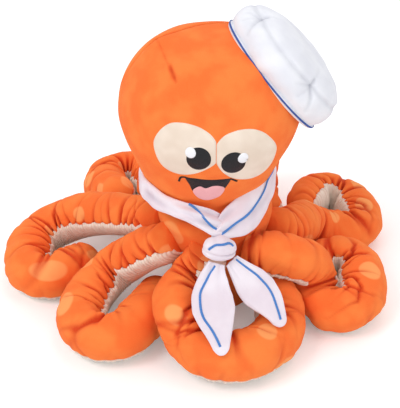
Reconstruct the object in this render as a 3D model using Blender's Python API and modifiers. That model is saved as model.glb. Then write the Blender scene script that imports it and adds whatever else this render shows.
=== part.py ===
"""A sitting plush octopus in a sailor hat and scarf. Metres, +Z up, front towards -Y.

The origin is on the floor under the middle of the torso.
"""

import math

import bmesh
import bpy
from mathutils import Matrix, Vector

# Driving sizes. arm_radius sets the torso and the arms, head_radius the head, the face and the hat.
arm_radius = 0.022
head_radius = 0.0815
head_height = 0.161
gap = 0.0003
panel_thickness = 0.0015
strip_thickness = 0.002
patch_thickness = 0.001
thread_thickness = 0.0008
scarf_thickness = 0.003
scarf_width = 0.026
stripe_width = 0.0028
socket_clearance = 0.0006
floor_flat = 0.0005
hat_band_height = 0.0047
hat_band_thickness = 0.0028
knot_clearance = 0.0006
seam_step = 0.0003
strip_end_clearance = 0.0007

# Shares of arm_radius.
torso_profile_shares = (
    (0.0, 0.0), (1.70, 0.0), (1.78, 0.30), (1.78, 2.40), (2.02, 3.20), (2.24, 4.00), (2.42, 4.45),
    (2.42, 4.58), (2.10, 4.74), (2.00, 5.09), (0.0, 5.09),
)
# Girth by share of the arm's length.
arm_girth_shares = (
    (0.0, 0.88), (0.10, 0.92), (0.30, 1.0), (0.60, 1.06), (0.85, 1.06), (0.95, 1.02), (1.0, 0.90),
)
arm_route_shares = {
    "arm_left": (
        (-2.70, 0.38, 3.64), (-3.39, 0.98, 3.31), (-4.09, 1.57, 3.01), (-4.82, 2.13, 2.69),
        (-5.58, 2.58, 2.34), (-6.38, 2.88, 1.94), (-7.21, 2.87, 1.55), (-7.92, 2.43, 1.26),
        (-8.31, 1.64, 1.12), (-8.34, 0.73, 1.08), (-7.97, -0.06, 1.06), (-7.21, -0.35, 1.06),
        (-6.48, 0.08, 1.02), (-6.00, 0.86, 0.92),
    ),
    "arm_front_left": (
        (-2.18, -1.64, 3.64), (-2.87, -1.32, 3.16), (-3.50, -1.05, 2.57), (-4.12, -0.86, 1.98),
        (-4.76, -1.21, 1.55), (-5.24, -1.94, 1.35), (-5.53, -2.81, 1.26), (-5.53, -3.71, 1.24),
        (-5.12, -4.48, 1.25), (-4.35, -4.73, 1.23), (-3.62, -4.31, 1.15), (-3.15, -3.53, 1.07),
        (-2.81, -2.67, 1.02), (-2.52, -1.78, 0.93),
    ),
    "arm_front": (
        (-0.38, -2.70, 3.64), (-0.81, -2.68, 2.95), (-1.33, -3.16, 2.59), (-1.58, -3.92, 2.42),
        (-1.49, -4.66, 2.06), (-1.11, -5.27, 1.63), (-0.50, -5.80, 1.39), (0.27, -6.10, 1.33),
        (1.08, -5.98, 1.30), (1.77, -5.49, 1.20), (2.31, -4.83, 1.12), (2.67, -4.06, 1.18),
        (2.68, -3.23, 1.38), (2.55, -2.39, 1.55),
    ),
    "arm_front_right": (
        (1.64, -2.18, 3.64), (2.56, -2.21, 3.46), (3.39, -2.02, 3.17), (3.91, -1.59, 2.59),
        (4.19, -1.43, 1.81), (4.44, -1.90, 1.20), (4.89, -2.57, 1.06), (5.64, -2.68, 1.13),
        (6.19, -2.07, 1.18), (6.39, -1.18, 1.19), (6.31, -0.28, 1.24), (5.81, 0.41, 1.30),
        (4.98, 0.61, 1.16), (4.11, 0.45, 0.90),
    ),
    "arm_right": (
        (2.70, -0.38, 3.64), (3.29, 0.25, 3.24), (3.71, 0.98, 2.87), (3.90, 1.80, 2.46),
        (4.22, 2.42, 1.90), (4.87, 2.72, 1.36), (5.72, 2.84, 1.09), (6.50, 3.23, 1.05),
        (6.85, 4.01, 1.06), (6.76, 4.91, 1.06), (6.30, 5.68, 1.09), (5.53, 6.00, 1.22),
        (4.79, 5.64, 1.39), (4.37, 4.85, 1.54),
    ),
    "arm_back_right": (
        (2.18, 1.64, 3.64), (2.02, 2.18, 2.99), (1.97, 2.74, 2.35), (1.97, 3.37, 1.78),
        (2.00, 4.11, 1.39), (2.04, 4.94, 1.28), (2.08, 5.75, 1.46), (2.10, 6.46, 1.92),
        (2.08, 6.98, 2.57), (2.04, 7.13, 3.35), (2.01, 6.78, 4.05), (2.01, 6.04, 4.35),
        (2.05, 5.21, 4.26), (2.09, 4.40, 4.00),
    ),
    "arm_back": (
        (0.38, 2.70, 3.64), (0.19, 3.51, 3.21), (0.03, 4.32, 2.76), (-0.08, 5.13, 2.31),
        (-0.09, 5.95, 1.86), (0.06, 6.79, 1.47), (0.40, 7.60, 1.21), (0.85, 8.41, 1.09),
        (1.13, 9.27, 1.07), (0.93, 10.10, 1.08), (0.23, 10.52, 1.09), (-0.56, 10.25, 1.09),
        (-1.05, 9.51, 1.09), (-1.33, 8.62, 1.08),
    ),
    "arm_back_left": (
        (-1.64, 2.18, 3.64), (-2.01, 2.95, 3.22), (-2.33, 3.73, 2.79), (-2.54, 4.55, 2.37),
        (-2.62, 5.40, 1.98), (-2.66, 6.22, 1.61), (-2.84, 7.05, 1.31), (-3.34, 7.82, 1.14),
        (-4.12, 8.22, 1.09), (-4.92, 7.86, 1.12), (-5.24, 7.05, 1.26), (-5.12, 6.16, 1.48),
        (-4.86, 5.36, 1.73), (-4.58, 4.62, 2.05),
    ),
}
# Running averages that take the kinks out of an arm's route.
route_smoothing = 36
route_steps = 240
# Each arm lifts about its sewn end by up to lift_angle; positive turns lift it.
lift_angle = 30.0
hinge_axes = {
    "arm_left": (0.139, 0.990, 0.0),
    "arm_front_left": (-0.602, 0.799, 0.0),
    "arm_front": (-0.990, 0.139, 0.0),
    "arm_front_right": (-0.428, -0.796, -0.418),
    "arm_right": (0.271, -0.952, -0.155),
    "arm_back_right": (0.917, -0.319, -0.239),
    "arm_back": (0.985, -0.005, 0.176),
    "arm_back_left": (0.793, 0.604, 0.099),
}
lift_steps = 2
# The underside strip faces the floor, rolled by some degrees to the inner side of the curl. The arm that
# rears up is the exception: its strip is rolled over until it lies inside the upright curl.
strip_roll_angle = 12.0
reared_arm = "arm_back_right"
reared_roll_angle = 175.0
roll_reach_share = 0.45
strip_half_angle = 62.0
edge_angle = 1.2
skin_points = 8
strip_points = 5
end_angles = (24.0, 56.0)
strip_start_share = 0.10
strip_end_share = 0.97
bend_limit_share = 0.52
tangent_steps = 18
bend_steps = 14
arm_stations = 16
seat_stations = 6
room_sides = 12
torso_steps = 32

# Shares of head_radius across and of head_height up from the neck.
head_profile_shares = (
    (0.60, 0.0), (0.625, 0.06), (0.68, 0.13), (0.755, 0.22), (0.836, 0.32), (0.922, 0.42), (0.982, 0.52),
    (0.99, 0.61), (0.963, 0.70), (0.894, 0.785), (0.788, 0.86), (0.66, 0.92), (0.48, 0.965), (0.25, 0.993),
    (0.0, 1.0),
)
head_shift_share = -0.067
head_steps = 40
filling_steps = 24
# Face outlines, shares of head_radius across and of head_height up, about the head's axis.
eye_outline_shares = {
    "eye_patch_left": (
        (0.058, 0.505), (0.058, 0.606), (0.011, 0.663), (-0.090, 0.700), (-0.189, 0.716), (-0.293, 0.719),
        (-0.408, 0.703), (-0.511, 0.653), (-0.581, 0.578), (-0.565, 0.501), (-0.508, 0.433), (-0.413, 0.397),
        (-0.300, 0.388), (-0.185, 0.404), (-0.059, 0.441),
    ),
    "eye_patch_right": (
        (0.696, 0.489), (0.667, 0.556), (0.565, 0.628), (0.454, 0.666), (0.345, 0.679), (0.241, 0.676),
        (0.133, 0.654), (0.065, 0.597), (0.065, 0.515), (0.122, 0.428), (0.236, 0.360), (0.362, 0.328),
        (0.474, 0.320), (0.582, 0.338), (0.658, 0.395),
    ),
}
pupil_shares = {"pupil_left": (-0.118, 0.525), "pupil_right": (0.239, 0.488)}
glint_shares = {"glint_left": (-0.201, 0.568), "glint_right": (0.337, 0.520)}
pupil_radius = 0.0103
glint_radius = 0.0044
mouth_shares = (
    (-0.325, 0.339), (-0.282, 0.381), (-0.209, 0.373), (-0.042, 0.366), (0.104, 0.364), (0.230, 0.368),
    (0.285, 0.334), (0.222, 0.322), (0.190, 0.290), (0.130, 0.240), (-0.040, 0.195), (-0.170, 0.235),
    (-0.245, 0.320),
)
tongue_shares = (
    (-0.180, 0.255), (-0.136, 0.290), (-0.073, 0.303), (-0.020, 0.290), (0.043, 0.313), (0.106, 0.310),
    (0.145, 0.284), (0.119, 0.234), (0.045, 0.192), (-0.040, 0.176), (-0.122, 0.205),
)
patch_overrun_share = 1.3
disc_sides = 20
glint_sides = 14

# The hat's axis leans to the viewer's right; shares of head_radius.
hat_axis = Vector((0.778, 0.126, 0.626))
hat_centre_height_share = 0.458
hat_seat_share = 0.892
hat_profile_shares = (
    (0.0, 0.0), (0.67, 0.0), (0.705, 0.065), (0.72, 0.18), (0.695, 0.32), (0.61, 0.445), (0.45, 0.54),
    (0.23, 0.58), (0.0, 0.585),
)
hat_band_radius_share = 0.70
hat_band_depth_share = 3.0
hat_steps = 32

# Scarf places, shares of arm_radius.
scarf_turn_angles = (4.0, 356.0)
scarf_stations = 40
scarf_axis_share = -0.30
scarf_tilt_share = 0.12
# The band's course by degrees from the front: radius and height about its axis, its upper edge's lean
# and its width.
scarf_course_angles = (4.0, 9.0, 18.0, 35.0, 60.0, 90.0, 180.0)
scarf_radius_shares = (3.22, 3.06, 2.93, 2.86, 2.78, 2.68, 2.62)
scarf_height_shares = (5.06, 5.28, 5.58, 5.76, 5.68, 5.50, 5.38)
scarf_lean_angles = (-38.0, -37.0, -33.0, -24.0, -10.0, 0.0, 0.0)
scarf_width_shares = (0.50, 0.66, 0.90, 1.0, 1.0, 1.0, 1.0)
stripe_place_share = 0.30
hem_share = 0.96
knot_place_shares = (0.14, -3.64, 4.86)
knot_size_shares = (0.72, 0.50, 0.62)
# A tail turns about its first point.
tail_route_shares = {
    "scarf_tail_left": (
        (0.02, -3.92, 4.28, 0.32), (-0.10, -4.24, 3.86, 0.60), (-0.16, -4.82, 3.36, 0.82),
        (-0.06, -5.58, 2.98, 0.86), (0.08, -6.28, 2.70, 0.68), (0.17, -6.80, 2.42, 0.44),
        (0.20, -7.06, 2.16, 0.24),
    ),
    "scarf_tail_right": (
        (0.62, -3.80, 4.32, 0.30), (1.04, -3.98, 3.86, 0.50), (1.54, -4.26, 3.38, 0.72),
        (2.02, -4.62, 2.98, 0.80), (2.34, -4.98, 2.66, 0.66), (2.52, -5.24, 2.40, 0.42),
        (2.60, -5.40, 2.24, 0.24),
    ),
}
tail_across_shares = {"scarf_tail_left": (1.0, -0.05, 0.0), "scarf_tail_right": (0.90, 0.42, 0.12)}
tail_stripe_shares = {"scarf_tail_left": (-0.5, 0.3), "scarf_tail_right": (0.55, 0.1)}
tail_stations = 13
tail_end_share = 0.4
slope_step = 0.02

for old in list(bpy.data.objects):
    bpy.data.objects.remove(old)

toy = bpy.data.collections.new("plush_octopus")
helpers = bpy.data.collections.new("cutters")
for collection in (toy, helpers):
    bpy.context.scene.collection.children.link(collection)
helpers.hide_render = True
smooth_limit = math.radians(40.0)


def material(name, colour, roughness=0.9):
    made = bpy.data.materials.new(name)
    made.use_nodes = True
    shader = made.node_tree.nodes["Principled BSDF"]
    shader.inputs["Base Color"].default_value = (*colour, 1.0)
    shader.inputs["Roughness"].default_value = roughness
    made.diffuse_color = (*colour, 1.0)
    return made


ORANGE = (0.93, 0.17, 0.035)
CREAM = (0.78, 0.62, 0.50)
WHITE = (0.86, 0.86, 0.90)
BLUE = (0.06, 0.20, 0.52)
BLACK = (0.012, 0.012, 0.014)
PINK = (0.80, 0.36, 0.40)
FILLING = (0.80, 0.80, 0.78)


def place(name, mesh, colour, origin=None, helper=False):
    """Links the mesh as an object whose origin is at the given point."""
    made = bpy.data.objects.new(name, mesh)
    if origin is not None:
        mesh.transform(Matrix.Translation(-origin))
        made.location = origin
    if helper:
        helpers.objects.link(made)
        made.hide_render = True
        made.display_type = "WIRE"
    else:
        toy.objects.link(made)
        mesh.materials.append(material(name, colour))
        mesh.shade_smooth()
        mesh.set_sharp_from_angle(angle=smooth_limit)
    return made


def boolean(target, other, operation):
    step = target.modifiers.new(operation.lower() + "_" + other.name, "BOOLEAN")
    step.operation = operation
    step.solver = "EXACT"
    step.object = other


def turned(name, profile, steps, colour, helper=False):
    """A closed solid turned about its own Z axis from (radius, height) points."""
    mesh = bpy.data.meshes.new(name)
    points = [(radius, 0.0, height) for radius, height in profile]
    edges = [(i, i + 1) for i in range(len(points) - 1)]
    if profile[0][0] > 0.0 or profile[-1][0] > 0.0:
        edges.append((len(points) - 1, 0))
    mesh.from_pydata(points, edges, [])
    made = place(name, mesh, colour, helper=helper)
    screw = made.modifiers.new("turn", "SCREW")
    screw.axis = "Z"
    screw.angle = 2.0 * math.pi
    screw.steps = steps
    screw.render_steps = steps
    screw.use_merge_vertices = True
    screw.merge_threshold = 0.00001
    screw.use_normal_calculate = True
    screw.use_smooth_shade = True
    return made


def loft(name, rings, colour, origin=None, helper=False):
    """One closed body through rings of equal counts, with a flat cap at each end."""
    work = bmesh.new()
    rows = [[work.verts.new(point) for point in ring] for ring in rings]
    count = len(rows[0])
    for first, second in zip(rows, rows[1:]):
        for i in range(count):
            j = (i + 1) % count
            work.faces.new((first[i], first[j], second[j]))
            work.faces.new((first[i], second[j], second[i]))
    work.faces.new(rows[0])
    work.faces.new(rows[-1])
    bmesh.ops.recalc_face_normals(work, faces=work.faces)
    bmesh.ops.triangulate(work, faces=[face for face in work.faces if len(face.verts) > 4])
    mesh = bpy.data.meshes.new(name)
    work.to_mesh(mesh)
    work.free()
    return place(name, mesh, colour, origin, helper)


def ellipsoid(name, centre, size, colour, helper=False):
    work = bmesh.new()
    bmesh.ops.create_uvsphere(work, u_segments=20, v_segments=12, radius=1.0)
    bmesh.ops.scale(work, vec=size, verts=work.verts)
    bmesh.ops.translate(work, vec=centre, verts=work.verts)
    mesh = bpy.data.meshes.new(name)
    work.to_mesh(mesh)
    work.free()
    return place(name, mesh, colour, helper=helper)


def prism(name, outline, depth, colour, helper=False):
    """The (x, z) outline run from y = -depth to y = 0."""
    work = bmesh.new()
    near = [work.verts.new((x, -depth, z)) for x, z in outline]
    base = work.faces.new(near)
    grown = bmesh.ops.extrude_face_region(work, geom=[base])
    moved = [item for item in grown["geom"] if isinstance(item, bmesh.types.BMVert)]
    bmesh.ops.translate(work, verts=moved, vec=(0.0, depth, 0.0))
    bmesh.ops.recalc_face_normals(work, faces=work.faces)
    mesh = bpy.data.meshes.new(name)
    work.to_mesh(mesh)
    work.free()
    return place(name, mesh, colour, helper=helper)


def between(table, share):
    for (low, first), (high, second) in zip(table, table[1:]):
        if share <= high:
            return first + (second - first) * (share - low) / (high - low)
    return table[-1][1]


def smooth(share):
    share = min(max(share, 0.0), 1.0)
    return share * share * (3.0 - 2.0 * share)


def curve_point(points, share):
    """A Catmull-Rom curve through the points."""
    place_on = share * (len(points) - 1)
    i = min(int(place_on), len(points) - 2)
    t = place_on - i
    a = points[max(i - 1, 0)]
    b, c = points[i], points[i + 1]
    d = points[min(i + 2, len(points) - 1)]
    return 0.5 * (
        2.0 * b + (c - a) * t + (2.0 * a - 5.0 * b + 4.0 * c - d) * t * t
        + (3.0 * b - a - 3.0 * c + d) * t ** 3
    )


def arm_line(name):
    """Evenly timed points of an arm's route, with its kinks smoothed, and the length up to each."""
    points = [Vector(p) * arm_radius for p in arm_route_shares[name]]
    line = [curve_point(points, i / route_steps) for i in range(route_steps + 1)]
    for _ in range(route_smoothing):
        inner = [0.25 * a + 0.5 * b + 0.25 * c for a, b, c in zip(line, line[1:], line[2:])]
        line = [line[0]] + inner + [line[-1]]
    lengths = [0.0]
    for first, second in zip(line, line[1:]):
        lengths.append(lengths[-1] + (second - first).length)
    return line, lengths


arm_lines = {name: arm_line(name) for name in arm_route_shares}


def arm_frames(name, shares):
    """(centre, along, out, radius, bend direction, bend squash) of the arm at each share of its length."""
    line, lengths = arm_lines[name]
    tangents = []
    for i in range(route_steps + 1):
        reach = max(1, min(tangent_steps, i, route_steps - i))
        tangents.append((line[min(i + reach, route_steps)] - line[max(i - reach, 0)]).normalized())
    # Out starts towards the floor. On the arm that rears up it is carried along, so that it doesn't flip.
    down = Vector((0.0, 0.0, -1.0))
    outs = []
    for tangent in tangents:
        outs.append((down - tangent * down.dot(tangent)).normalized())
        if name == reared_arm:
            down = outs[-1].copy()
    # The curl's inner side, from the bend over the arm's outer two thirds.
    turn = Vector((0.0, 0.0, 0.0))
    for i in range(route_steps // 3, route_steps):
        turn += tangents[i].cross(tangents[i + 1])
    middle = tangents[route_steps // 2]
    inner_side = math.copysign(1.0, turn.cross(middle).dot(middle.cross(outs[route_steps // 2])))
    frames = []
    for share in shares:
        place_on = share * lengths[-1]
        i = 0
        while i < route_steps - 1 and lengths[i + 1] < place_on:
            i += 1
        t = min(max((place_on - lengths[i]) / (lengths[i + 1] - lengths[i]), 0.0), 1.0)
        centre = line[i].lerp(line[i + 1], t)
        tangent = tangents[i].lerp(tangents[i + 1], t).normalized()
        low = outs[i].lerp(outs[i + 1], t)
        low = (low - tangent * low.dot(tangent)).normalized()
        roll = math.radians(strip_roll_angle) * inner_side
        if name == reared_arm:
            roll = math.radians(reared_roll_angle) * smooth(share / roll_reach_share)
        out = low * math.cos(roll) + tangent.cross(low) * math.sin(roll)
        radius = arm_radius * between(arm_girth_shares, share)
        before, after = line[max(i - bend_steps, 0)], line[min(i + bend_steps, route_steps)]
        inward = (before + after) * 0.5 - line[i]
        half = (after - before).length * 0.5
        inward -= tangent * inward.dot(tangent)
        bend_radius = half * half / (2.0 * inward.length) if inward.length > 0.0 else lengths[-1]
        squash = min(1.0, bend_limit_share * bend_radius / radius)
        bend = inward.normalized() if inward.length > 0.0 else out
        frames.append((centre, tangent, out, radius, bend, squash))
    return frames


def around(frame, corners, floor=None):
    """Points about an arm's frame, from (degrees from the strip's middle, radius) pairs."""
    centre, tangent, out, radius, inward, squash = frame
    side = tangent.cross(out)
    lift = Vector((0.0, 0.0, max(0.0, radius - floor_flat - centre.z)))
    ring = []
    for angle, reach in corners:
        turn = math.radians(angle)
        arm = (out * math.cos(turn) + side * math.sin(turn)) * reach
        towards = arm.dot(inward)
        if towards > 0.0:
            arm -= inward * towards * (1.0 - squash)
        point = centre + lift + arm
        if floor is not None:
            point.z = max(point.z, floor)
        ring.append(point)
    return ring


def arm_section(radius, depth):
    """The skin from seam to seam, then the recess below the strip."""
    sweep = 360.0 - 2.0 * strip_half_angle
    outer = [(strip_half_angle + sweep * i / (skin_points - 1), radius) for i in range(skin_points)]
    low = strip_half_angle - edge_angle
    inner = [(low * (2.0 * i / (strip_points - 1) - 1.0), radius - depth) for i in range(strip_points)]
    return outer + inner


def strip_section(radius, depth):
    low = strip_half_angle - 2.0 * edge_angle
    outer = [(low * (1.0 - 2.0 * i / (strip_points - 1)), radius) for i in range(strip_points)]
    return outer + [(angle, radius - depth) for angle, _ in reversed(outer)]


def plain_section(radius, depth):
    return [(360.0 * i / room_sides, radius - depth) for i in range(room_sides)]


def rings_of(name, stations, section, floor=None):
    frames = arm_frames(name, [share for share, _ in stations])
    return [around(frame, section(frame[3], depth), floor) for frame, (_, depth) in zip(frames, stations)]


def end_rings(name, share, side):
    """Rings of a rounded end, beyond the arm's first point (side -1) or its last (side 1)."""
    (frame,) = arm_frames(name, [share])
    centre, tangent, out, radius, inward, squash = frame
    lift = Vector((0.0, 0.0, max(0.0, radius - floor_flat - centre.z)))
    rings = []
    for degrees in end_angles if side < 0.0 else reversed(end_angles):
        turn = math.radians(degrees)
        middle = centre + lift + tangent * side * radius * math.cos(turn)
        narrow = [(angle, reach * math.sin(turn)) for angle, reach in arm_section(radius, 0.0)]
        rings.append(around((middle, tangent, out, 0.0, inward, squash), narrow, 0.0))
    return rings


strip_reach = strip_end_share - strip_start_share
strip_shares = [strip_start_share + strip_reach * i / arm_stations for i in range(arm_stations + 1)]
arm_roots = {}
for arm_name in arm_route_shares:
    length = arm_lines[arm_name][1][-1]
    step_share = seam_step / length
    shares = strip_shares
    recess = strip_thickness + 2.0 * gap
    stations = [(0.0, 0.0), (0.5 * strip_start_share, 0.0), (shares[0] - step_share, 0.0)]
    stations += [(share, recess) for share in shares]
    stations += [(shares[-1] + step_share, 0.0), (1.0, 0.0)]
    rings = end_rings(arm_name, 0.0, -1.0)
    rings += rings_of(arm_name, stations, arm_section, 0.0)
    rings += end_rings(arm_name, 1.0, 1.0)
    root = Vector(arm_route_shares[arm_name][0]) * arm_radius
    arm_roots[arm_name] = root
    loft(arm_name, rings, ORANGE, root)
    inset = strip_end_clearance / length
    strip_stations = [shares[0] + inset] + shares[1:-1] + [shares[-1] - inset]
    strip_stations = [(share, strip_thickness) for share in strip_stations]
    underside = rings_of(arm_name, strip_stations, strip_section, 0.0)
    loft(arm_name.replace("arm_", "underside_"), underside, CREAM, root)

# The torso has a seat for each arm's sewn end.
torso_profile = [(r * arm_radius, z * arm_radius) for r, z in torso_profile_shares]
torso = turned("torso", torso_profile, torso_steps, ORANGE)
for arm_name in arm_route_shares:
    frames = arm_frames(arm_name, [0.0, 0.5 * strip_start_share] + strip_shares[:seat_stations])
    root = arm_roots[arm_name]
    ball_radius = frames[0][3] + socket_clearance
    ball_size = Vector((ball_radius, ball_radius, ball_radius))
    boolean(torso, ellipsoid("ball_" + arm_name, root, ball_size, ORANGE, helper=True), "DIFFERENCE")
    seat = [around(frame, arm_section(frame[3] + socket_clearance, 0.0)) for frame in frames]
    boolean(torso, loft("seat_" + arm_name, seat, ORANGE, helper=True), "DIFFERENCE")
    # Room above the seat for the lifted arm, wider at each step so that the cuts don't share walls.
    for step in range(1, lift_steps + 1):
        turn = math.radians(lift_angle) * step / lift_steps
        lifted = Matrix.Rotation(turn, 3, Vector(hinge_axes[arm_name]))
        room = (1 + step) * socket_clearance
        swept = [around(frame, plain_section(frame[3] + room, 0.0)) for frame in frames[:3]]
        swept = [[root + lifted @ (point - root) for point in ring] for ring in swept]
        boolean(torso, loft(f"room_{arm_name}_{step}", swept, ORANGE, helper=True), "DIFFERENCE")

torso_top = torso_profile_shares[-1][1] * arm_radius
neck_level = torso_top + gap
head_shift = head_shift_share * head_radius


def head_profile(offset):
    """The head's outline moved out by the offset, as (radius, height) about its axis."""
    points = [Vector((r * head_radius, z * head_height)) for r, z in head_profile_shares]
    moved = []
    for i, point in enumerate(points):
        along = points[min(i + 1, len(points) - 1)] - points[max(i - 1, 0)]
        normal = Vector((along.y, -along.x)).normalized()
        if i == len(points) - 1:
            normal = Vector((0.0, 1.0))
        if i == 0:
            normal = Vector((1.0, 0.0))
        moved.append(point + normal * offset)
    return [(max(point.x, 0.0), point.y + neck_level) for point in moved]


def head_solid(name, offset):
    made = turned(name, [(0.0, neck_level)] + head_profile(offset), head_steps, ORANGE, helper=True)
    made.location.x = head_shift
    return made


def box(name, low, high):
    work = bmesh.new()
    bmesh.ops.create_cube(work, size=1.0)
    size = Vector(high) - Vector(low)
    middle = (Vector(high) + Vector(low)) * 0.5
    bmesh.ops.scale(work, vec=size, verts=work.verts)
    bmesh.ops.translate(work, vec=middle, verts=work.verts)
    mesh = bpy.data.meshes.new(name)
    work.to_mesh(mesh)
    work.free()
    return place(name, mesh, ORANGE, helper=True)


reach = 2.0 * (head_radius + head_height)
shell = head_profile(0.0) + head_profile(-panel_thickness)[::-1]
for panel_name, low, high in (
    ("head_front", (-reach, -0.5 * gap, -reach), (reach, reach, reach)),
    ("head_back", (-reach, -reach, -reach), (reach, 0.5 * gap, reach)),
):
    panel = turned(panel_name, shell, head_steps, ORANGE)
    panel.location.x = head_shift
    boolean(panel, box("clear_" + panel_name, low, high), "DIFFERENCE")
filling_profile = head_profile(-panel_thickness - 2.0 * gap)
head_filling = turned("head_filling", [(0.0, neck_level)] + filling_profile, filling_steps, FILLING)
head_filling.location.x = head_shift

skin = head_solid("head_skin", gap)
patch_face = head_solid("patch_face", gap + patch_thickness)
thread_back = head_solid("thread_back", 2.0 * gap + patch_thickness)
thread_face = head_solid("thread_face", 2.0 * gap + patch_thickness + thread_thickness)


def face_point(point):
    return point[0] * head_radius + head_shift, point[1] * head_height + neck_level


def on_face(name, outline, inner, outer, colour):
    """A thin piece that follows the head between two offset surfaces."""
    made = prism(name, outline, patch_overrun_share * head_radius, colour)
    boolean(made, outer, "INTERSECT")
    boolean(made, inner, "DIFFERENCE")
    return made


def disc(centre, radius, count):
    turns = [2.0 * math.pi * i / count for i in range(count)]
    return [(centre[0] + radius * math.cos(turn), centre[1] + radius * math.sin(turn)) for turn in turns]


def cut_room(target, name, outline):
    """Cuts the target back from a neighbour's outline."""
    middle = Vector((sum(p[0] for p in outline), sum(p[1] for p in outline))) / len(outline)
    grown = [tuple(Vector(p) + (Vector(p) - middle).normalized() * 2.0 * gap) for p in outline]
    depth = patch_overrun_share * head_radius
    boolean(target, prism("room_" + name, grown, depth, BLACK, helper=True), "DIFFERENCE")


mouth = on_face("mouth", [face_point(p) for p in mouth_shares], skin, patch_face, BLACK)
for eye_name, shares in eye_outline_shares.items():
    outline = [face_point(p) for p in shares]
    on_face(eye_name, outline, skin, patch_face, CREAM)
    cut_room(mouth, eye_name, outline)
for pupil_name, centre in pupil_shares.items():
    glint_name = pupil_name.replace("pupil", "glint")
    glint_place = face_point(glint_shares[glint_name])
    pupil_disc = disc(face_point(centre), pupil_radius, disc_sides)
    glint_disc = disc(glint_place, glint_radius, glint_sides)
    pupil = on_face(pupil_name, pupil_disc, thread_back, thread_face, BLACK)
    on_face(glint_name, glint_disc, thread_back, thread_face, WHITE)
    cut_room(pupil, glint_name, glint_disc)
tongue_outline = [face_point(p) for p in tongue_shares]
on_face("tongue", tongue_outline, skin, patch_face, PINK)
cut_room(mouth, "tongue", tongue_outline)

# The hat sits on the head's upper right and is hollow where the head goes in.
hat_up = hat_axis.normalized()
hat_turn = Vector((0.0, 0.0, 1.0)).rotation_difference(hat_up)
hat_place = Vector((head_shift, 0.0, neck_level + hat_centre_height_share * head_height))
hat_place += hat_up * hat_seat_share * head_radius
band_radius = hat_band_radius_share * head_radius
band_inner = band_radius - hat_band_depth_share * hat_band_thickness
hat_pieces = {
    "hat_crown": ([(r * head_radius, z * head_radius) for r, z in hat_profile_shares], WHITE),
    "hat_band": (
        [
            (band_inner, -gap), (band_inner, -hat_band_height),
            (band_radius, -hat_band_height), (band_radius + hat_band_thickness, -0.5 * hat_band_height),
            (band_radius, -gap),
        ],
        WHITE,
    ),
}
for hat_name, (profile, colour) in hat_pieces.items():
    piece = turned(hat_name, profile, hat_steps, colour)
    piece.rotation_mode = "QUATERNION"
    piece.rotation_quaternion = hat_turn
    piece.location = hat_place
    boolean(piece, skin, "DIFFERENCE")
edge = band_radius + hat_band_thickness + gap
hat_stripe = turned(
    "hat_stripe",
    [
        (edge, -0.5 * hat_band_height - 0.5 * stripe_width),
        (edge + thread_thickness, -0.5 * hat_band_height),
        (edge, -0.5 * hat_band_height + 0.5 * stripe_width),
    ],
    hat_steps,
    BLUE,
)
hat_stripe.rotation_mode = "QUATERNION"
hat_stripe.rotation_quaternion = hat_turn
hat_stripe.location = hat_place
boolean(hat_stripe, skin, "DIFFERENCE")

# The scarf: a band round the neck, a knot at the front, two tails that turn at the knot.
knot_place = Vector(knot_place_shares) * arm_radius
knot_size = Vector(knot_size_shares) * arm_radius
room_size = knot_size + Vector((knot_clearance, knot_clearance, knot_clearance))
ellipsoid("scarf_knot", knot_place, knot_size, WHITE)
knot_room = ellipsoid("knot_room", knot_place, room_size, WHITE, helper=True)


def along_course(shares, degrees):
    return between(list(zip(scarf_course_angles, shares)), max(degrees, scarf_course_angles[0]))


def scarf_frame(share):
    """(centre, across, face, half width) of the band, going round from the knot's right to its left."""
    degrees = scarf_turn_angles[0] + (scarf_turn_angles[1] - scarf_turn_angles[0]) * share
    turn = math.radians(degrees)
    away = abs(math.remainder(degrees, 360.0))
    out = Vector((math.sin(turn), -math.cos(turn), 0.0))
    rise = Vector((0.0, 0.0, 1.0))
    height = along_course(scarf_height_shares, away) + scarf_tilt_share * math.sin(turn)
    centre = Vector((scarf_axis_share, 0.0, height)) * arm_radius
    centre += out * along_course(scarf_radius_shares, away) * arm_radius
    lean = math.radians(along_course(scarf_lean_angles, away))
    up = rise * math.cos(lean) + out * math.sin(lean)
    face = out * math.cos(lean) - rise * math.sin(lean)
    half = 0.5 * scarf_width * along_course(scarf_width_shares, away)
    return centre, up, face, half


def flat_ring(centre, up, face, half, thick):
    edge = face * 0.5 * thick
    rim = up * half
    return [
        centre + rim * hem_share + edge, centre + rim, centre + rim * hem_share - edge,
        centre - rim * hem_share - edge, centre - rim, centre - rim * hem_share + edge,
    ]


band_rings = []
stripe_rings = []
for i in range(scarf_stations + 1):
    centre, up, face, half = scarf_frame(i / scarf_stations)
    band_rings.append(flat_ring(centre, up, face, half, scarf_thickness))
    lift = face * (0.5 * scarf_thickness + 2.0 * gap + 0.5 * thread_thickness)
    lift += up * half * stripe_place_share
    stripe_rings.append(flat_ring(centre + lift, up, face, 0.5 * stripe_width, thread_thickness))
scarf_band = loft("scarf_band", band_rings, WHITE)
boolean(scarf_band, skin, "DIFFERENCE")
boolean(scarf_band, knot_room, "DIFFERENCE")
band_stripe = loft("scarf_band_stripe", stripe_rings, BLUE)
boolean(band_stripe, skin, "DIFFERENCE")
boolean(band_stripe, knot_room, "DIFFERENCE")

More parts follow.
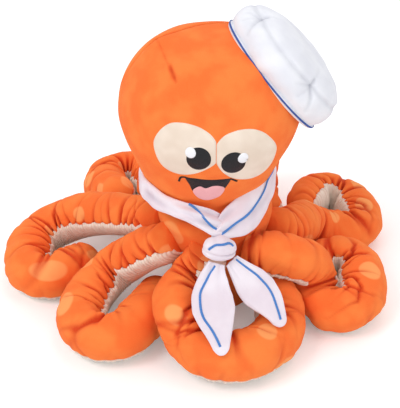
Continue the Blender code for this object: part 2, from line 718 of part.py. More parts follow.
for tail_name, rows in tail_route_shares.items():
    points = [Vector(row[:3]) * arm_radius for row in rows]
    widths = [(i / (len(rows) - 1), row[3] * arm_radius) for i, row in enumerate(rows)]
    across_hint = Vector(tail_across_shares[tail_name]).normalized()
    tail_rings = []
    tail_stripe_rings = []
    for i in range(tail_stations + 1):
        share = i / tail_stations
        centre = curve_point(points, share)
        ahead = curve_point(points, min(share + slope_step, 1.0))
        along = (ahead - curve_point(points, max(share - slope_step, 0.0))).normalized()
        across = (across_hint - along * across_hint.dot(along)).normalized()
        face = along.cross(across)
        if face.z < 0.0:
            face = -face
        half = between(widths, share)
        if i == 0:
            round_end = centre - along * tail_end_share * scarf_thickness
            tail_rings.append(flat_ring(round_end, across, face, half, 0.5 * scarf_thickness))
        tail_rings.append(flat_ring(centre, across, face, half, scarf_thickness))
        lift = face * (0.5 * scarf_thickness + gap + 0.5 * thread_thickness)
        first, last = tail_stripe_shares[tail_name]
        lift += across * half * (first + (last - first) * share * share)
        if 0 < i < tail_stations:
            ring = flat_ring(centre + lift, across, face, 0.5 * stripe_width, thread_thickness)
            tail_stripe_rings.append(ring)
    hinge = points[0]
    tail = loft(tail_name, tail_rings, WHITE, hinge)
    boolean(tail, knot_room, "DIFFERENCE")
    stripe = loft(tail_name + "_stripe", tail_stripe_rings, BLUE, hinge)
    boolean(stripe, knot_room, "DIFFERENCE")
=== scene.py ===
# %% [markdown]
# A sitting plush octopus: a stuffed head on a small torso, eight curled arms, a sailor
# hat and a knotted scarf. Real ones are sewn from short-pile plush, turned inside out
# and filled with fibre, so every surface here is cloth that swells between its seams.
# The solid frame comes first: it fixes each piece's size and place, and is never moved.

# %% Load the fixed frame
import math

import bpy
import numpy as np
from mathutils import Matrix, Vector
from mathutils.bvhtree import BVHTree


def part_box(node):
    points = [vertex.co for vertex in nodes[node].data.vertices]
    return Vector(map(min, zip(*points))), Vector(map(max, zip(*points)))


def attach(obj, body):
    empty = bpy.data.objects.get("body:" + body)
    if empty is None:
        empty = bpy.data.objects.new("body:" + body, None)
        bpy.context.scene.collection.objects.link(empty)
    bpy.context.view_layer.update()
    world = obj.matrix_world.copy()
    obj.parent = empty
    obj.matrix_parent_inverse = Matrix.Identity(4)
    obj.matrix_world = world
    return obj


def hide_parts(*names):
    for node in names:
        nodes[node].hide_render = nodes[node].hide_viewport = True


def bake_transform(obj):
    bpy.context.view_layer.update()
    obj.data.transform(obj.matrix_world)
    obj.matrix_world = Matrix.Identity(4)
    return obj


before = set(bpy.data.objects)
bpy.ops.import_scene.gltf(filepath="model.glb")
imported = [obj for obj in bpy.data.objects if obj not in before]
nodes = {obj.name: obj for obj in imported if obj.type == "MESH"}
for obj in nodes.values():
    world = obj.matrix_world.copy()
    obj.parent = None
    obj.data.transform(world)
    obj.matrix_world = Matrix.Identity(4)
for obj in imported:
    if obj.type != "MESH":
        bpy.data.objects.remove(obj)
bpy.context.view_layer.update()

# %% [markdown]
# Everything hangs on three sizes of the frame: the arms' radius, and the head's radius
# and height. They are read from the frame, so the cloth always fits the solids.

# %% Sizes taken from the frame
TORSO_TOP_SHARE = 5.09
arm_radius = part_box("torso")[1].z / TORSO_TOP_SHARE
head_low, head_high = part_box("head_front")
neck_level = head_low.z
head_height = head_high.z - head_low.z
widest_head_share = 0.99
head_radius = 0.5 * (head_high.x - head_low.x) / widest_head_share
head_shift = 0.5 * (head_high.x + head_low.x)
MILLIMETRE = 0.001
print("arm radius", round(arm_radius, 4))
print("head radius", round(head_radius, 4), "height", round(head_height, 4))

# %% [markdown]
# A colour is easiest to judge as it looks on a screen, from 0 to 255. Shaders want it
# linear, so one helper converts it, and each cloth of the toy gets its colours here.

# %% Colours of the cloths and threads


def tone(red, green, blue):
    """A screen colour, 0 to 255, as a linear colour with alpha."""
    linear = []
    for value in (red, green, blue):
        share = value / 255.0
        linear.append(share / 12.92 if share <= 0.04045 else ((share + 0.055) / 1.055) ** 2.4)
    return (*linear, 1.0)


ORANGE = tone(250, 129, 60)
ORANGE_DEEP = tone(247, 112, 49)
ORANGE_LIGHT = tone(253, 164, 98)
# Painted shade: the colour that the orange is darkened towards in its creases and seams.
ORANGE_CREASE_SHADE = tone(206, 42, 6)
CREAM = tone(243, 229, 214)
# Random wear, and painted shade in the ribs' valleys.
CREAM_WEAR_AND_SHADE = tone(214, 186, 164)
PATCH = tone(240, 225, 210)
PATCH_DEEP = tone(229, 211, 194)
WHITE = tone(237, 238, 244)
WHITE_DEEP = tone(228, 229, 237)
# Painted shade: the colour that the white is darkened towards in the hat's creases.
WHITE_CREASE_SHADE = tone(126, 130, 146)
# The scarf is white plush like the hat's; its colours are tinted pink as painted bounce light from the
# orange cloth around it.
SCARF = tone(237, 229, 237)
SCARF_DEEP = tone(228, 216, 226)
SCARF_LIGHT = tone(243, 238, 244)
# Painted shade: the colour that the scarf is darkened towards in its folds.
SCARF_CREASE_SHADE = tone(158, 142, 160)
BLUE = tone(78, 134, 202)
BLACK = tone(26, 26, 28)
PINK = tone(238, 168, 172)

# %% [markdown]
# Shader maths reads best as plain sums. A small class wraps a node's output, and each
# operator adds the Math node that does it. A second class holds one material and makes
# every other node from its type, its settings and its inputs.

# %% Shader helpers


class Wire:
    """A node's output. Operators on it add Math nodes."""

    def __init__(self, tree, socket):
        self.tree = tree
        self.socket = socket

    def math(self, operation, *values):
        made = self.tree.nodes.new("ShaderNodeMath")
        made.operation = operation
        for slot, value in zip(made.inputs, values):
            feed(self.tree, slot, value)
        return Wire(self.tree, made.outputs[0])

    def __add__(self, other):
        return self.math("ADD", self, other)

    __radd__ = __add__

    def __mul__(self, other):
        return self.math("MULTIPLY", self, other)

    __rmul__ = __mul__

    def __sub__(self, other):
        return self.math("SUBTRACT", self, other)

    def __rsub__(self, other):
        return self.math("SUBTRACT", other, self)

    def __truediv__(self, other):
        return self.math("DIVIDE", self, other)

    def __pow__(self, other):
        return self.math("POWER", self, other)

    def sine(self):
        return self.math("SINE", self)

    def above(self, other):
        return self.math("GREATER_THAN", self, other)


def feed(tree, slot, value):
    """Links a wire to a socket, or sets a plain value on it."""
    if isinstance(value, Wire):
        tree.links.new(value.socket, slot)
    else:
        slot.default_value = value


class Finish:
    """One procedural material around a Principled BSDF."""

    def __init__(self, name, roughness):
        self.material = bpy.data.materials.new(name)
        self.material.use_nodes = True
        self.tree = self.material.node_tree
        self.shader = self.tree.nodes["Principled BSDF"]
        self.shader.inputs["Roughness"].default_value = roughness
        self.shader.inputs["Specular IOR Level"].default_value = 0.2
        self.place = self.node("TexCoord", output="Object")

    def node(self, kind, settings=(), output=0, **sockets):
        made = self.tree.nodes.new("ShaderNode" + kind)
        for key, value in dict(settings).items():
            if key == "stops":
                ramp = made.color_ramp
                while len(ramp.elements) < len(value):
                    ramp.elements.new(1.0)
                for stop, (at, colour) in zip(ramp.elements, value):
                    stop.position = at
                    stop.color = colour
            else:
                setattr(made, key, value)
        for key, value in sockets.items():
            name = key.replace("_", " ")
            slot = made.inputs[int(key[1:])] if key[0] == "n" and key[1:].isdigit() else made.inputs[name]
            feed(self.tree, slot, value)
        return Wire(self.tree, made.outputs[output])

    def noise(self, scale, detail=3.0):
        """Noise with about this many bumps to the metre."""
        return self.node("TexNoise", output="Fac", Vector=self.place, Scale=scale, Detail=detail)

    def blend(self, share, first, second):
        """The first colour where the share is 0, the second where it is 1."""
        settings = {"data_type": "RGBA", "clamp_factor": True}
        return self.node("Mix", settings, output=2, n0=share, n6=first, n7=second)

    def step(self, value, low, high, first=0.0, second=1.0):
        """Runs from first to second, softly, as the value goes from low to high."""
        settings = {"interpolation_type": "SMOOTHSTEP"}
        return self.node("MapRange", settings, n0=value, n1=low, n2=high, n3=first, n4=second)

    def sheen(self, weight, colour, roughness):
        self.shader.inputs["Sheen Weight"].default_value = weight
        self.shader.inputs["Sheen Tint"].default_value = colour
        self.shader.inputs["Sheen Roughness"].default_value = roughness

    def bump(self, height, depth):
        """Raises the surface by the height, 0 to 1, times the depth in metres."""
        made = self.node("Bump", Height=height, Distance=depth, Strength=1.0)
        feed(self.tree, self.shader.inputs["Normal"], made)

    def colour(self, value):
        feed(self.tree, self.shader.inputs["Base Color"], value)

    def rough(self, value):
        feed(self.tree, self.shader.inputs["Roughness"], value)


# %% [markdown]
# Short-pile plush is velvety: dark where the pile points at the eye and light at a
# glancing angle, which is what sheen does. Fingers leave the pile brushed in patches,
# so a broad noise shifts the colour, and a fine one gives the pile its grain. The arms
# are also dyed with round spots, made here from a Voronoi pattern in which only some of
# the cells carry a spot. The pattern runs on the cloth's own coordinates, in metres.
# Creases are darkened in colour as painted shade. Each mesh carries how deep a point
# lies in a crease, as an attribute that the material reads.

# %% Plush, with and without dyed spots


def plush(name, main, deep, light, crease=None, sheen_weight=0.35, spots=False):
    made = Finish(name, 0.92)
    brushed = made.step(made.noise(38.0, 2.0), 0.36, 0.66)
    colour = made.blend(brushed, deep, main)
    if spots:
        cloth = made.node("UVMap", {"uv_map": "cloth"})
        cell = {"voronoi_dimensions": "2D", "feature": "F1"}
        spread = {"Scale": 23.0, "Randomness": 0.42}
        reach = made.node("TexVoronoi", cell, output="Distance", Vector=cloth, **spread)
        which = made.node("TexVoronoi", cell, output="Color", Vector=cloth, **spread)
        parts = made.node("SeparateColor", n0=which)
        size = 0.17 + parts * 0.11
        inside = made.step(reach - size, -0.03, 0.03, 1.0, 0.0)
        chosen = Wire(made.tree, parts.socket.node.outputs[1]).above(0.5)
        colour = made.blend(inside * chosen * 0.88, colour, light)
    # Painted shade: creases are darkened towards the crease colour, by how deep each point lies.
    if crease is not None:
        hollow = made.node("Attribute", {"attribute_name": "hollow"}, output="Fac")
        colour = made.blend(0.85 * hollow, colour, crease)
    grain = made.noise(1500.0, 2.0)
    pile = made.step(grain, 0.3, 0.7)
    colour = made.blend(0.10 * pile, colour, light)
    made.colour(colour)
    made.rough(0.86 + 0.1 * pile)
    made.sheen(sheen_weight, light, 0.38)
    made.bump(pile, 0.00012)
    return made.material


orange_plush = plush("orange_plush", ORANGE, ORANGE_DEEP, ORANGE_LIGHT, ORANGE_CREASE_SHADE)
spotted_plush = plush("spotted_orange_plush", ORANGE, ORANGE_DEEP, ORANGE_LIGHT, ORANGE_CREASE_SHADE, spots=True)
white_plush = plush("white_plush", WHITE, WHITE_DEEP, WHITE, WHITE_CREASE_SHADE, 0.25)
scarf_plush = plush("white_scarf_plush", SCARF, SCARF_DEEP, SCARF_LIGHT, SCARF_CREASE_SHADE, 0.25)
patch_plush = plush("cream_patch_plush", PATCH, PATCH_DEEP, PATCH, sheen_weight=0.2)

# %% [markdown]
# The underside of the arms is a cream corduroy-like plush. Its ribs are real geometry,
# made further down, so the material only needs the pile, random wear, and painted shade
# in the valleys, which it finds from a height that the mesh carries as an attribute.

# %% Cream ribbed plush


def ribbed_plush():
    made = Finish("cream_ribbed_plush", 0.95)
    valley = made.node("Attribute", {"attribute_name": "valley"}, output="Fac")
    worn = made.noise(45.0, 3.0)
    pile = made.step(made.noise(1300.0, 2.0), 0.3, 0.7)
    # Painted shade in the ribs' valleys, mixed with random wear.
    colour = made.blend(0.75 * valley + 0.35 * worn - 0.12, CREAM, CREAM_WEAR_AND_SHADE)
    made.colour(made.blend(0.12 * pile, colour, WHITE))
    made.sheen(0.3, CREAM, 0.5)
    made.bump(pile, 0.00015)
    return made.material


cream_plush = ribbed_plush()

# %% [markdown]
# Embroidery thread is smooth rayon: it shines along one direction. Each stitch is its
# own small strand, so the material stays simple, with a slight change of tone.

# %% Threads


def thread(name, colour, light):
    made = Finish(name, 0.42)
    twist = made.noise(900.0, 2.0)
    made.colour(made.blend(0.5 * twist, colour, light))
    made.rough(0.34 + 0.2 * twist)
    made.bump(made.step(made.noise(2600.0, 1.0), 0.35, 0.65), 0.00006)
    return made.material


blue_thread = thread("blue_thread", BLUE, tone(96, 148, 220))
dark_blue_thread = thread("dark_blue_thread", tone(52, 84, 160), tone(74, 116, 196))
black_thread = thread("black_thread", BLACK, tone(52, 52, 58))
white_thread = thread("white_thread", WHITE, tone(255, 255, 255))
pink_thread = thread("pink_thread", PINK, tone(247, 196, 200))

# %% [markdown]
# Most pieces are sheets of points, row by row, joined into quads. One helper makes such
# a mesh, closes it round or at its ends, and stores the cloth's own coordinates.

# %% Meshes from rows of points


def woven(name, rows, material, around=True, caps=True, cloth=None, **extra):
    """A mesh through rows of points, an array of (rows, columns, 3)."""
    count, wide = rows.shape[:2]
    index = np.arange(count * wide).reshape(count, wide)
    if around:
        index = np.concatenate([index, index[:, :1]], axis=1)
    quads = np.stack([index[:-1, :-1], index[:-1, 1:], index[1:, 1:], index[1:, :-1]], axis=-1)
    faces = quads.reshape(-1, 4).tolist()
    if caps:
        faces.append(index[0, :wide][::-1].tolist())
        faces.append(index[-1, :wide].tolist())
    mesh = bpy.data.meshes.new(name)
    mesh.from_pydata(rows.reshape(-1, 3).tolist(), [], faces)
    if cloth is not None:
        corner = np.zeros(len(mesh.loops), np.int32)
        mesh.loops.foreach_get("vertex_index", corner)
        layer = mesh.uv_layers.new(name="cloth")
        layer.data.foreach_set("uv", cloth.reshape(-1, 2)[corner].astype(np.float32).ravel())
    for key, values in extra.items():
        stored = mesh.attributes.new(key, "FLOAT", "POINT")
        stored.data.foreach_set("value", np.asarray(values, np.float32).ravel())
    mesh.shade_smooth()
    mesh.materials.append(material)
    made = bpy.data.objects.new(name, mesh)
    bpy.context.scene.collection.objects.link(made)
    return made


def signed_volume(made):
    mesh = made.data
    mesh.calc_loop_triangles()
    points = np.array([v.co for v in mesh.vertices])
    corners = points[np.array([t.vertices for t in mesh.loop_triangles])]
    return float(np.einsum("ij,ij->i", corners[:, 0], np.cross(corners[:, 1], corners[:, 2])).sum() / 6.0)


def outwards(made):
    """Turns the faces of a closed piece so that they point out."""
    if signed_volume(made) < 0.0:
        made.data.flip_normals()
    return made


def lumps(points, size, seed, count=9):
    """Soft uneven stuffing: a sum of waves about this long, from -1 to 1."""
    random = np.random.default_rng(seed)
    total = np.zeros(points.shape[:-1])
    for _ in range(count):
        direction = random.normal(size=3)
        direction *= 2.0 * math.pi / (np.linalg.norm(direction) * size * random.uniform(0.7, 1.5))
        total += np.sin(points @ direction + random.uniform(0.0, 2.0 * math.pi))
    return total / math.sqrt(count) * 0.8


def unit(vectors):
    return vectors / np.maximum(np.linalg.norm(vectors, axis=-1, keepdims=True), 1e-12)


def smooth_step(share):
    share = np.clip(share, 0.0, 1.0)
    return share * share * (3.0 - 2.0 * share)


# %% [markdown]
# Each arm follows a route of listed points, in shares of the arm's radius, from its
# sewn root to its rounded tip. A Catmull-Rom curve passes through all of them. The frame
# was made from the same points, so the cloth lies where the solids are.

# %% The arms' routes
arm_route_shares = {
    "left": (
        (-2.70, 0.38, 3.64), (-3.39, 0.98, 3.31), (-4.09, 1.57, 3.01), (-4.82, 2.13, 2.69),
        (-5.58, 2.58, 2.34), (-6.38, 2.88, 1.94), (-7.21, 2.87, 1.55), (-7.92, 2.43, 1.26),
        (-8.31, 1.64, 1.12), (-8.34, 0.73, 1.08), (-7.97, -0.06, 1.06), (-7.21, -0.35, 1.06),
        (-6.48, 0.08, 1.02), (-6.00, 0.86, 0.92),
    ),
    "front_left": (
        (-2.18, -1.64, 3.64), (-2.87, -1.32, 3.16), (-3.50, -1.05, 2.57), (-4.12, -0.86, 1.98),
        (-4.76, -1.21, 1.55), (-5.24, -1.94, 1.35), (-5.53, -2.81, 1.26), (-5.53, -3.71, 1.24),
        (-5.12, -4.48, 1.25), (-4.35, -4.73, 1.23), (-3.62, -4.31, 1.15), (-3.15, -3.53, 1.07),
        (-2.81, -2.67, 1.02), (-2.52, -1.78, 0.93),
    ),
    "front": (
        (-0.38, -2.70, 3.64), (-0.81, -2.68, 2.95), (-1.33, -3.16, 2.59), (-1.58, -3.92, 2.42),
        (-1.49, -4.66, 2.06), (-1.11, -5.27, 1.63), (-0.50, -5.80, 1.39), (0.27, -6.10, 1.33),
        (1.08, -5.98, 1.30), (1.77, -5.49, 1.20), (2.31, -4.83, 1.12), (2.67, -4.06, 1.18),
        (2.68, -3.23, 1.38), (2.55, -2.39, 1.55),
    ),
    "front_right": (
        (1.64, -2.18, 3.64), (2.56, -2.21, 3.46), (3.39, -2.02, 3.17), (3.91, -1.59, 2.59),
        (4.19, -1.43, 1.81), (4.44, -1.90, 1.20), (4.89, -2.57, 1.06), (5.64, -2.68, 1.13),
        (6.19, -2.07, 1.18), (6.39, -1.18, 1.19), (6.31, -0.28, 1.24), (5.81, 0.41, 1.30),
        (4.98, 0.61, 1.16), (4.11, 0.45, 0.90),
    ),
    "right": (
        (2.70, -0.38, 3.64), (3.29, 0.25, 3.24), (3.71, 0.98, 2.87), (3.90, 1.80, 2.46), (4.22, 2.42, 1.90),
        (4.87, 2.72, 1.36), (5.72, 2.84, 1.09), (6.50, 3.23, 1.05), (6.85, 4.01, 1.06), (6.76, 4.91, 1.06),
        (6.30, 5.68, 1.09), (5.53, 6.00, 1.22), (4.79, 5.64, 1.39), (4.37, 4.85, 1.54),
    ),
    "back_right": (
        (2.18, 1.64, 3.64), (2.02, 2.18, 2.99), (1.97, 2.74, 2.35), (1.97, 3.37, 1.78), (2.00, 4.11, 1.39),
        (2.04, 4.94, 1.28), (2.08, 5.75, 1.46), (2.10, 6.46, 1.92), (2.08, 6.98, 2.57), (2.04, 7.13, 3.35),
        (2.01, 6.78, 4.05), (2.01, 6.04, 4.35), (2.05, 5.21, 4.26), (2.09, 4.40, 4.00),
    ),
    "back": (
        (0.38, 2.70, 3.64), (0.19, 3.51, 3.21), (0.03, 4.32, 2.76), (-0.08, 5.13, 2.31), (-0.09, 5.95, 1.86),
        (0.06, 6.79, 1.47), (0.40, 7.60, 1.21), (0.85, 8.41, 1.09), (1.13, 9.27, 1.07), (0.93, 10.10, 1.08),
        (0.23, 10.52, 1.09), (-0.56, 10.25, 1.09), (-1.05, 9.51, 1.09), (-1.33, 8.62, 1.08),
    ),
    "back_left": (
        (-1.64, 2.18, 3.64), (-2.01, 2.95, 3.22), (-2.33, 3.73, 2.79), (-2.54, 4.55, 2.37),
        (-2.62, 5.40, 1.98), (-2.66, 6.22, 1.61), (-2.84, 7.05, 1.31), (-3.34, 7.82, 1.14),
        (-4.12, 8.22, 1.09), (-4.92, 7.86, 1.12), (-5.24, 7.05, 1.26), (-5.12, 6.16, 1.48),
        (-4.86, 5.36, 1.73), (-4.58, 4.62, 2.05),
    ),
}
arm_girth_shares = (
    (0.0, 0.88), (0.10, 0.92), (0.30, 1.0), (0.60, 1.06), (0.85, 1.06), (0.95, 1.02), (1.0, 0.90),
)


def catmull_rom(a, b, c, d, t):
    """The point a share t of the way from b to c, on the curve through all four."""
    bend = 2 * a - 5 * b + 4 * c - d
    twist = 3 * b - a - 3 * c + d
    return 0.5 * (2 * b + (c - a) * t + bend * t**2 + twist * t**3)


def curve_through(points, count):
    """Points along a Catmull-Rom curve, evenly spaced, and its length."""
    points = np.asarray(points, float)
    padded = np.concatenate([points[:1], points, points[-1:]])
    fine = []
    for i in range(len(points) - 1):
        a, b, c, d = padded[i : i + 4]
        t = np.linspace(0.0, 1.0, 40, endpoint=False)[:, None]
        fine.append(catmull_rom(a, b, c, d, t))
    fine = np.concatenate(fine + [points[-1:]])
    reached = np.concatenate([[0.0], np.cumsum(np.linalg.norm(np.diff(fine, axis=0), axis=1))])
    even = np.linspace(0.0, reached[-1], count)
    return np.stack([np.interp(even, reached, fine[:, k]) for k in range(3)], axis=1), reached[-1]


def softened(values, reach):
    """A running average over this many samples each way, with the ends held."""
    if reach < 1:
        return values
    weights = np.hanning(2 * reach + 3)[1:-1]
    weights /= weights.sum()
    padded = np.concatenate([np.repeat(values[:1], reach, 0), values, np.repeat(values[-1:], reach, 0)])
    flat = padded.reshape(len(padded), -1)
    smooth = np.stack([np.convolve(flat[:, k], weights, "valid") for k in range(flat.shape[1])], axis=1)
    return smooth.reshape(values.shape)


# %% [markdown]
# Along the route runs a frame of three directions: forwards, towards the underside and
# across. The underside faces the floor, rolled a little to the curl's inner side. At the
# tip the rows close like the end of a sausage: they crowd onto a half circle.

# %% Frames along an arm
strip_half_angle = math.radians(67.0)
strip_roll = math.radians(16.0)
curl_widening = math.radians(9.0)
curl_roll = {"right": math.radians(44.0), "front_right": math.radians(24.0)}
usual_curl_roll = math.radians(14.0)
tight_bend = 0.55
root_overlap = 15.0 * MILLIMETRE
root_taper = 0.20
LINE_SAMPLES = 400


class Arm:
    """The route of one arm, sampled evenly, with its frame, girth and bend."""

    def __init__(self, name):
        self.name = name
        route = np.array(arm_route_shares[name]) * arm_radius
        line, self.length = curve_through(route, LINE_SAMPLES)
        inner = softened(line, 17)
        inner[:1], inner[-1:] = line[:1], line[-1:]
        self.line = inner
        self.along = np.linspace(0.0, self.length, LINE_SAMPLES)
        ahead = unit(softened(np.gradient(self.line, axis=0), 12))
        down = np.tile([0.0, 0.0, -1.0], (LINE_SAMPLES, 1))
        if name == "back_right":
            carried = np.array([0.0, 0.0, -1.0])
            for i in range(LINE_SAMPLES):
                carried = unit(carried - ahead[i] * carried.dot(ahead[i]))
                down[i] = carried
        down = unit(down - ahead * (down * ahead).sum(1, keepdims=True))
        across = np.cross(ahead, down)
        bend = softened(np.gradient(ahead, self.length / LINE_SAMPLES, axis=0), 10)
        self.bend = bend - ahead * (bend * ahead).sum(1, keepdims=True)
        outer = (bend * across).sum(1)[LINE_SAMPLES // 3 :].mean()
        self.inner_sign = 1.0 if outer > 0.0 else -1.0
        shares, girths = zip(*arm_girth_shares)
        self.girth = softened(np.interp(self.along / self.length, shares, girths), 8) * arm_radius
        inward_bend = (self.bend * across).sum(1) * self.girth * self.inner_sign
        curl = np.maximum.accumulate(smooth_step(softened(inward_bend, 24) / tight_bend))
        self.half_angle = strip_half_angle + curl_widening * curl
        roll = (strip_roll + curl_roll.get(name, usual_curl_roll) * curl) * self.inner_sign
        if name == "back_right":
            roll = math.radians(175.0) * smooth_step(self.along / self.length / 0.45)
        out = down * np.cos(roll)[:, None] + across * np.sin(roll)[:, None]
        self.ahead, self.out, self.side = ahead, out, np.cross(ahead, out)
        self.root_way = unit(0.3 * ahead[0] + unit(self.line[0] * [1.0, 1.0, 0.0]))

    def at(self, values, place):
        """A sampled quantity at these distances along the route."""
        flat = values.reshape(LINE_SAMPLES, -1)
        found = np.stack([np.interp(place, self.along, flat[:, k]) for k in range(flat.shape[1])], axis=-1)
        return found if values.ndim > 1 else found[..., 0]

    def rows(self, spacing):
        """(place along the cloth, place on the route, shift ahead, share of girth) for each row."""
        straight = np.arange(-root_overlap, self.length, spacing)
        end = self.girth[-1]
        turns = np.linspace(0.0, 0.5 * math.pi, int(end * 0.5 * math.pi / spacing))[:-1]
        turns = np.append(turns, 0.5 * math.pi - 0.03)
        place = np.concatenate([np.clip(straight, 0.0, None), np.full(len(turns), self.length)])
        shift = np.concatenate([np.minimum(straight, 0.0), end * np.sin(turns)])
        narrowing = 1.0 - root_taper * (np.minimum(straight, 0.0) / root_overlap) ** 2
        share = np.concatenate([narrowing, np.cos(turns)])
        cloth = np.concatenate([straight, self.length + end * turns])
        return cloth, place, shift, share


arms = {name: Arm(name) for name in arm_route_shares}
print("arm lengths in mm", {name: round(arm.length * 1000) for name, arm in arms.items()})

# %% [markdown]
# Where a curl tightens, the plush on its inner side is gathered into the seam. Each
# gather is a crease that starts at the seam, deep and narrow, and fades out over the
# arm, with a soft lobe between it and the next one. The seam itself is pulled into
# points at the creases, which gives the cream strip its star-shaped edge. The places of
# the creases come from a seeded random walk, so that each run makes the same toy.

# %% Gathers at the seams
gather_spacing = 10.0 * MILLIMETRE
seam_point_height = 4.2 * MILLIMETRE
crease_depth = 6.0 * MILLIMETRE
crease_width = 1.5 * MILLIMETRE
crease_reach = 20.0 * MILLIMETRE
puff_height = 2.0 * MILLIMETRE
fold_depth = 3.8 * MILLIMETRE
fold_width = 2.0 * MILLIMETRE
fold_reach = 38.0 * MILLIMETRE
seam_groove = 1.3 * MILLIMETRE
crease_shade_depth = 2.2 * MILLIMETRE
root_reach = 34.0 * MILLIMETRE


class Seam:
    """The gathers along one edge of an arm's underside."""

    def __init__(self, arm, sign, seed):
        random = np.random.default_rng(seed)
        bend = (arm.bend * arm.side).sum(1) * arm.girth * sign
        root = 0.55 * np.exp(-((arm.along / root_reach) ** 2))
        self.gather = np.clip(0.16 + 1.7 * softened(bend, 12) + root, 0.10, 1.0)
        self.arm = arm
        steps = gather_spacing * random.uniform(0.6, 1.5, 200)
        places = np.cumsum(steps) - root_overlap
        self.creases = places[places < arm.length + arm.girth[-1] * 1.3]
        count = len(self.creases)
        self.depth = crease_depth * random.uniform(0.5, 1.2, count)
        self.width = crease_width * random.uniform(0.75, 1.35, count)
        self.reach = crease_reach * random.uniform(0.6, 1.8, count)
        self.slant = random.uniform(-0.45, 0.45, count)
        self.curve = random.uniform(-0.25, 0.25, count)
        chosen = random.random(count) < 0.45
        self.fold = np.where(chosen, fold_depth * random.uniform(0.5, 1.15, count), 0.0)
        self.fold_reach = fold_reach * random.uniform(0.6, 1.3, count)

    def amount(self, cloth):
        return self.arm.at(self.gather, np.clip(cloth, 0.0, self.arm.length))

    def lobes(self, cloth):
        """0 at a crease and 1 midway between two."""
        spots = self.creases
        nearest = np.abs(cloth[:, None] - spots[None, :]).min(1)
        return np.clip(nearest / (0.5 * gather_spacing), 0.0, 1.0)

    def point(self, cloth):
        """How far the cream edge reaches into the plush, in metres."""
        return seam_point_height * (1.0 - self.lobes(cloth)) ** 1.5 * self.amount(cloth)

    def height(self, cloth, away):
        """The relief at places along the cloth and distances from the seam."""
        amount = self.amount(cloth)[:, None]
        lobe = np.sqrt(self.lobes(cloth))[:, None]
        relief = puff_height * (lobe - 0.4) * amount * np.exp(-((away / (1.2 * crease_reach)) ** 2))
        for i, spot in enumerate(self.creases):
            bow = self.curve[i] * away**2 / fold_reach
            off = cloth[:, None] - spot - self.slant[i] * away - bow
            near = np.exp(-np.abs(off / self.width[i]) ** 1.5) * np.exp(-((away / self.reach[i]) ** 2))
            relief = relief - self.depth[i] * near * amount
            if self.fold[i] > 0.0:
                wide = fold_width * (1.0 + 0.5 * away / fold_reach)
                long = np.exp(-((off / wide) ** 2)) * np.exp(-((away / self.fold_reach[i]) ** 2))
                relief = relief - self.fold[i] * long * (0.12 + 0.88 * amount)
        return relief - seam_groove * np.exp(-((away / (1.8 * MILLIMETRE)) ** 2))


# %% [markdown]
# The orange skin is one closed sausage. Its columns run from seam to seam, and a few
# more cross the underside a little deeper, below the cream strip. Working in columns
# that end at the seam keeps the star-shaped edge sharp.

# %% The orange skin of the arms
skin_spacing = 1.05 * MILLIMETRE
skin_columns = 66
recess_columns = 8
recess_depth = 2.6 * MILLIMETRE
floor_level = 0.2 * MILLIMETRE
bend_room = 0.56


def ring_points(arm, place, shift, reach, angle):
    """Points of rows at angles from the underside's middle; reach is the radius there."""
    way = np.where(shift[:, None] < 0.0, arm.root_way, arm.at(arm.ahead, place))
    centre = arm.at(arm.line, place) + way * shift[:, None]
    out = arm.at(arm.out, place)[:, None, :]
    side = arm.at(arm.side, place)[:, None, :]
    spoke = (out * np.cos(angle)[..., None] + side * np.sin(angle)[..., None]) * reach[..., None]
    bend = arm.at(arm.bend, place)
    strength = np.linalg.norm(bend, axis=1)
    inward = unit(bend)[:, None, :]
    girth = arm.at(arm.girth, place)
    squash = np.minimum(1.0, bend_room / np.maximum(strength * girth, 1e-9))
    squash = softened(squash, 6)
    towards = np.maximum((spoke * inward).sum(-1, keepdims=True), 0.0)
    spoke = spoke - inward * towards * (1.0 - squash)[:, None, None]
    points = centre[:, None, :] + spoke
    lift = np.maximum(0.0, floor_level - points[..., 2])
    points[..., 2] += lift
    return points


def edge_angles(arm, seams, cloth, place, share):
    """The angles of the underside's two edges in each row."""
    girth = arm.at(arm.girth, place)
    half = arm.at(arm.half_angle, place)
    closing = np.clip(share, 0.0, 1.0) ** 0.8
    low = (half + seams[0].point(cloth) / girth) * closing
    high = (half + seams[1].point(cloth) / girth) * closing
    return low, high


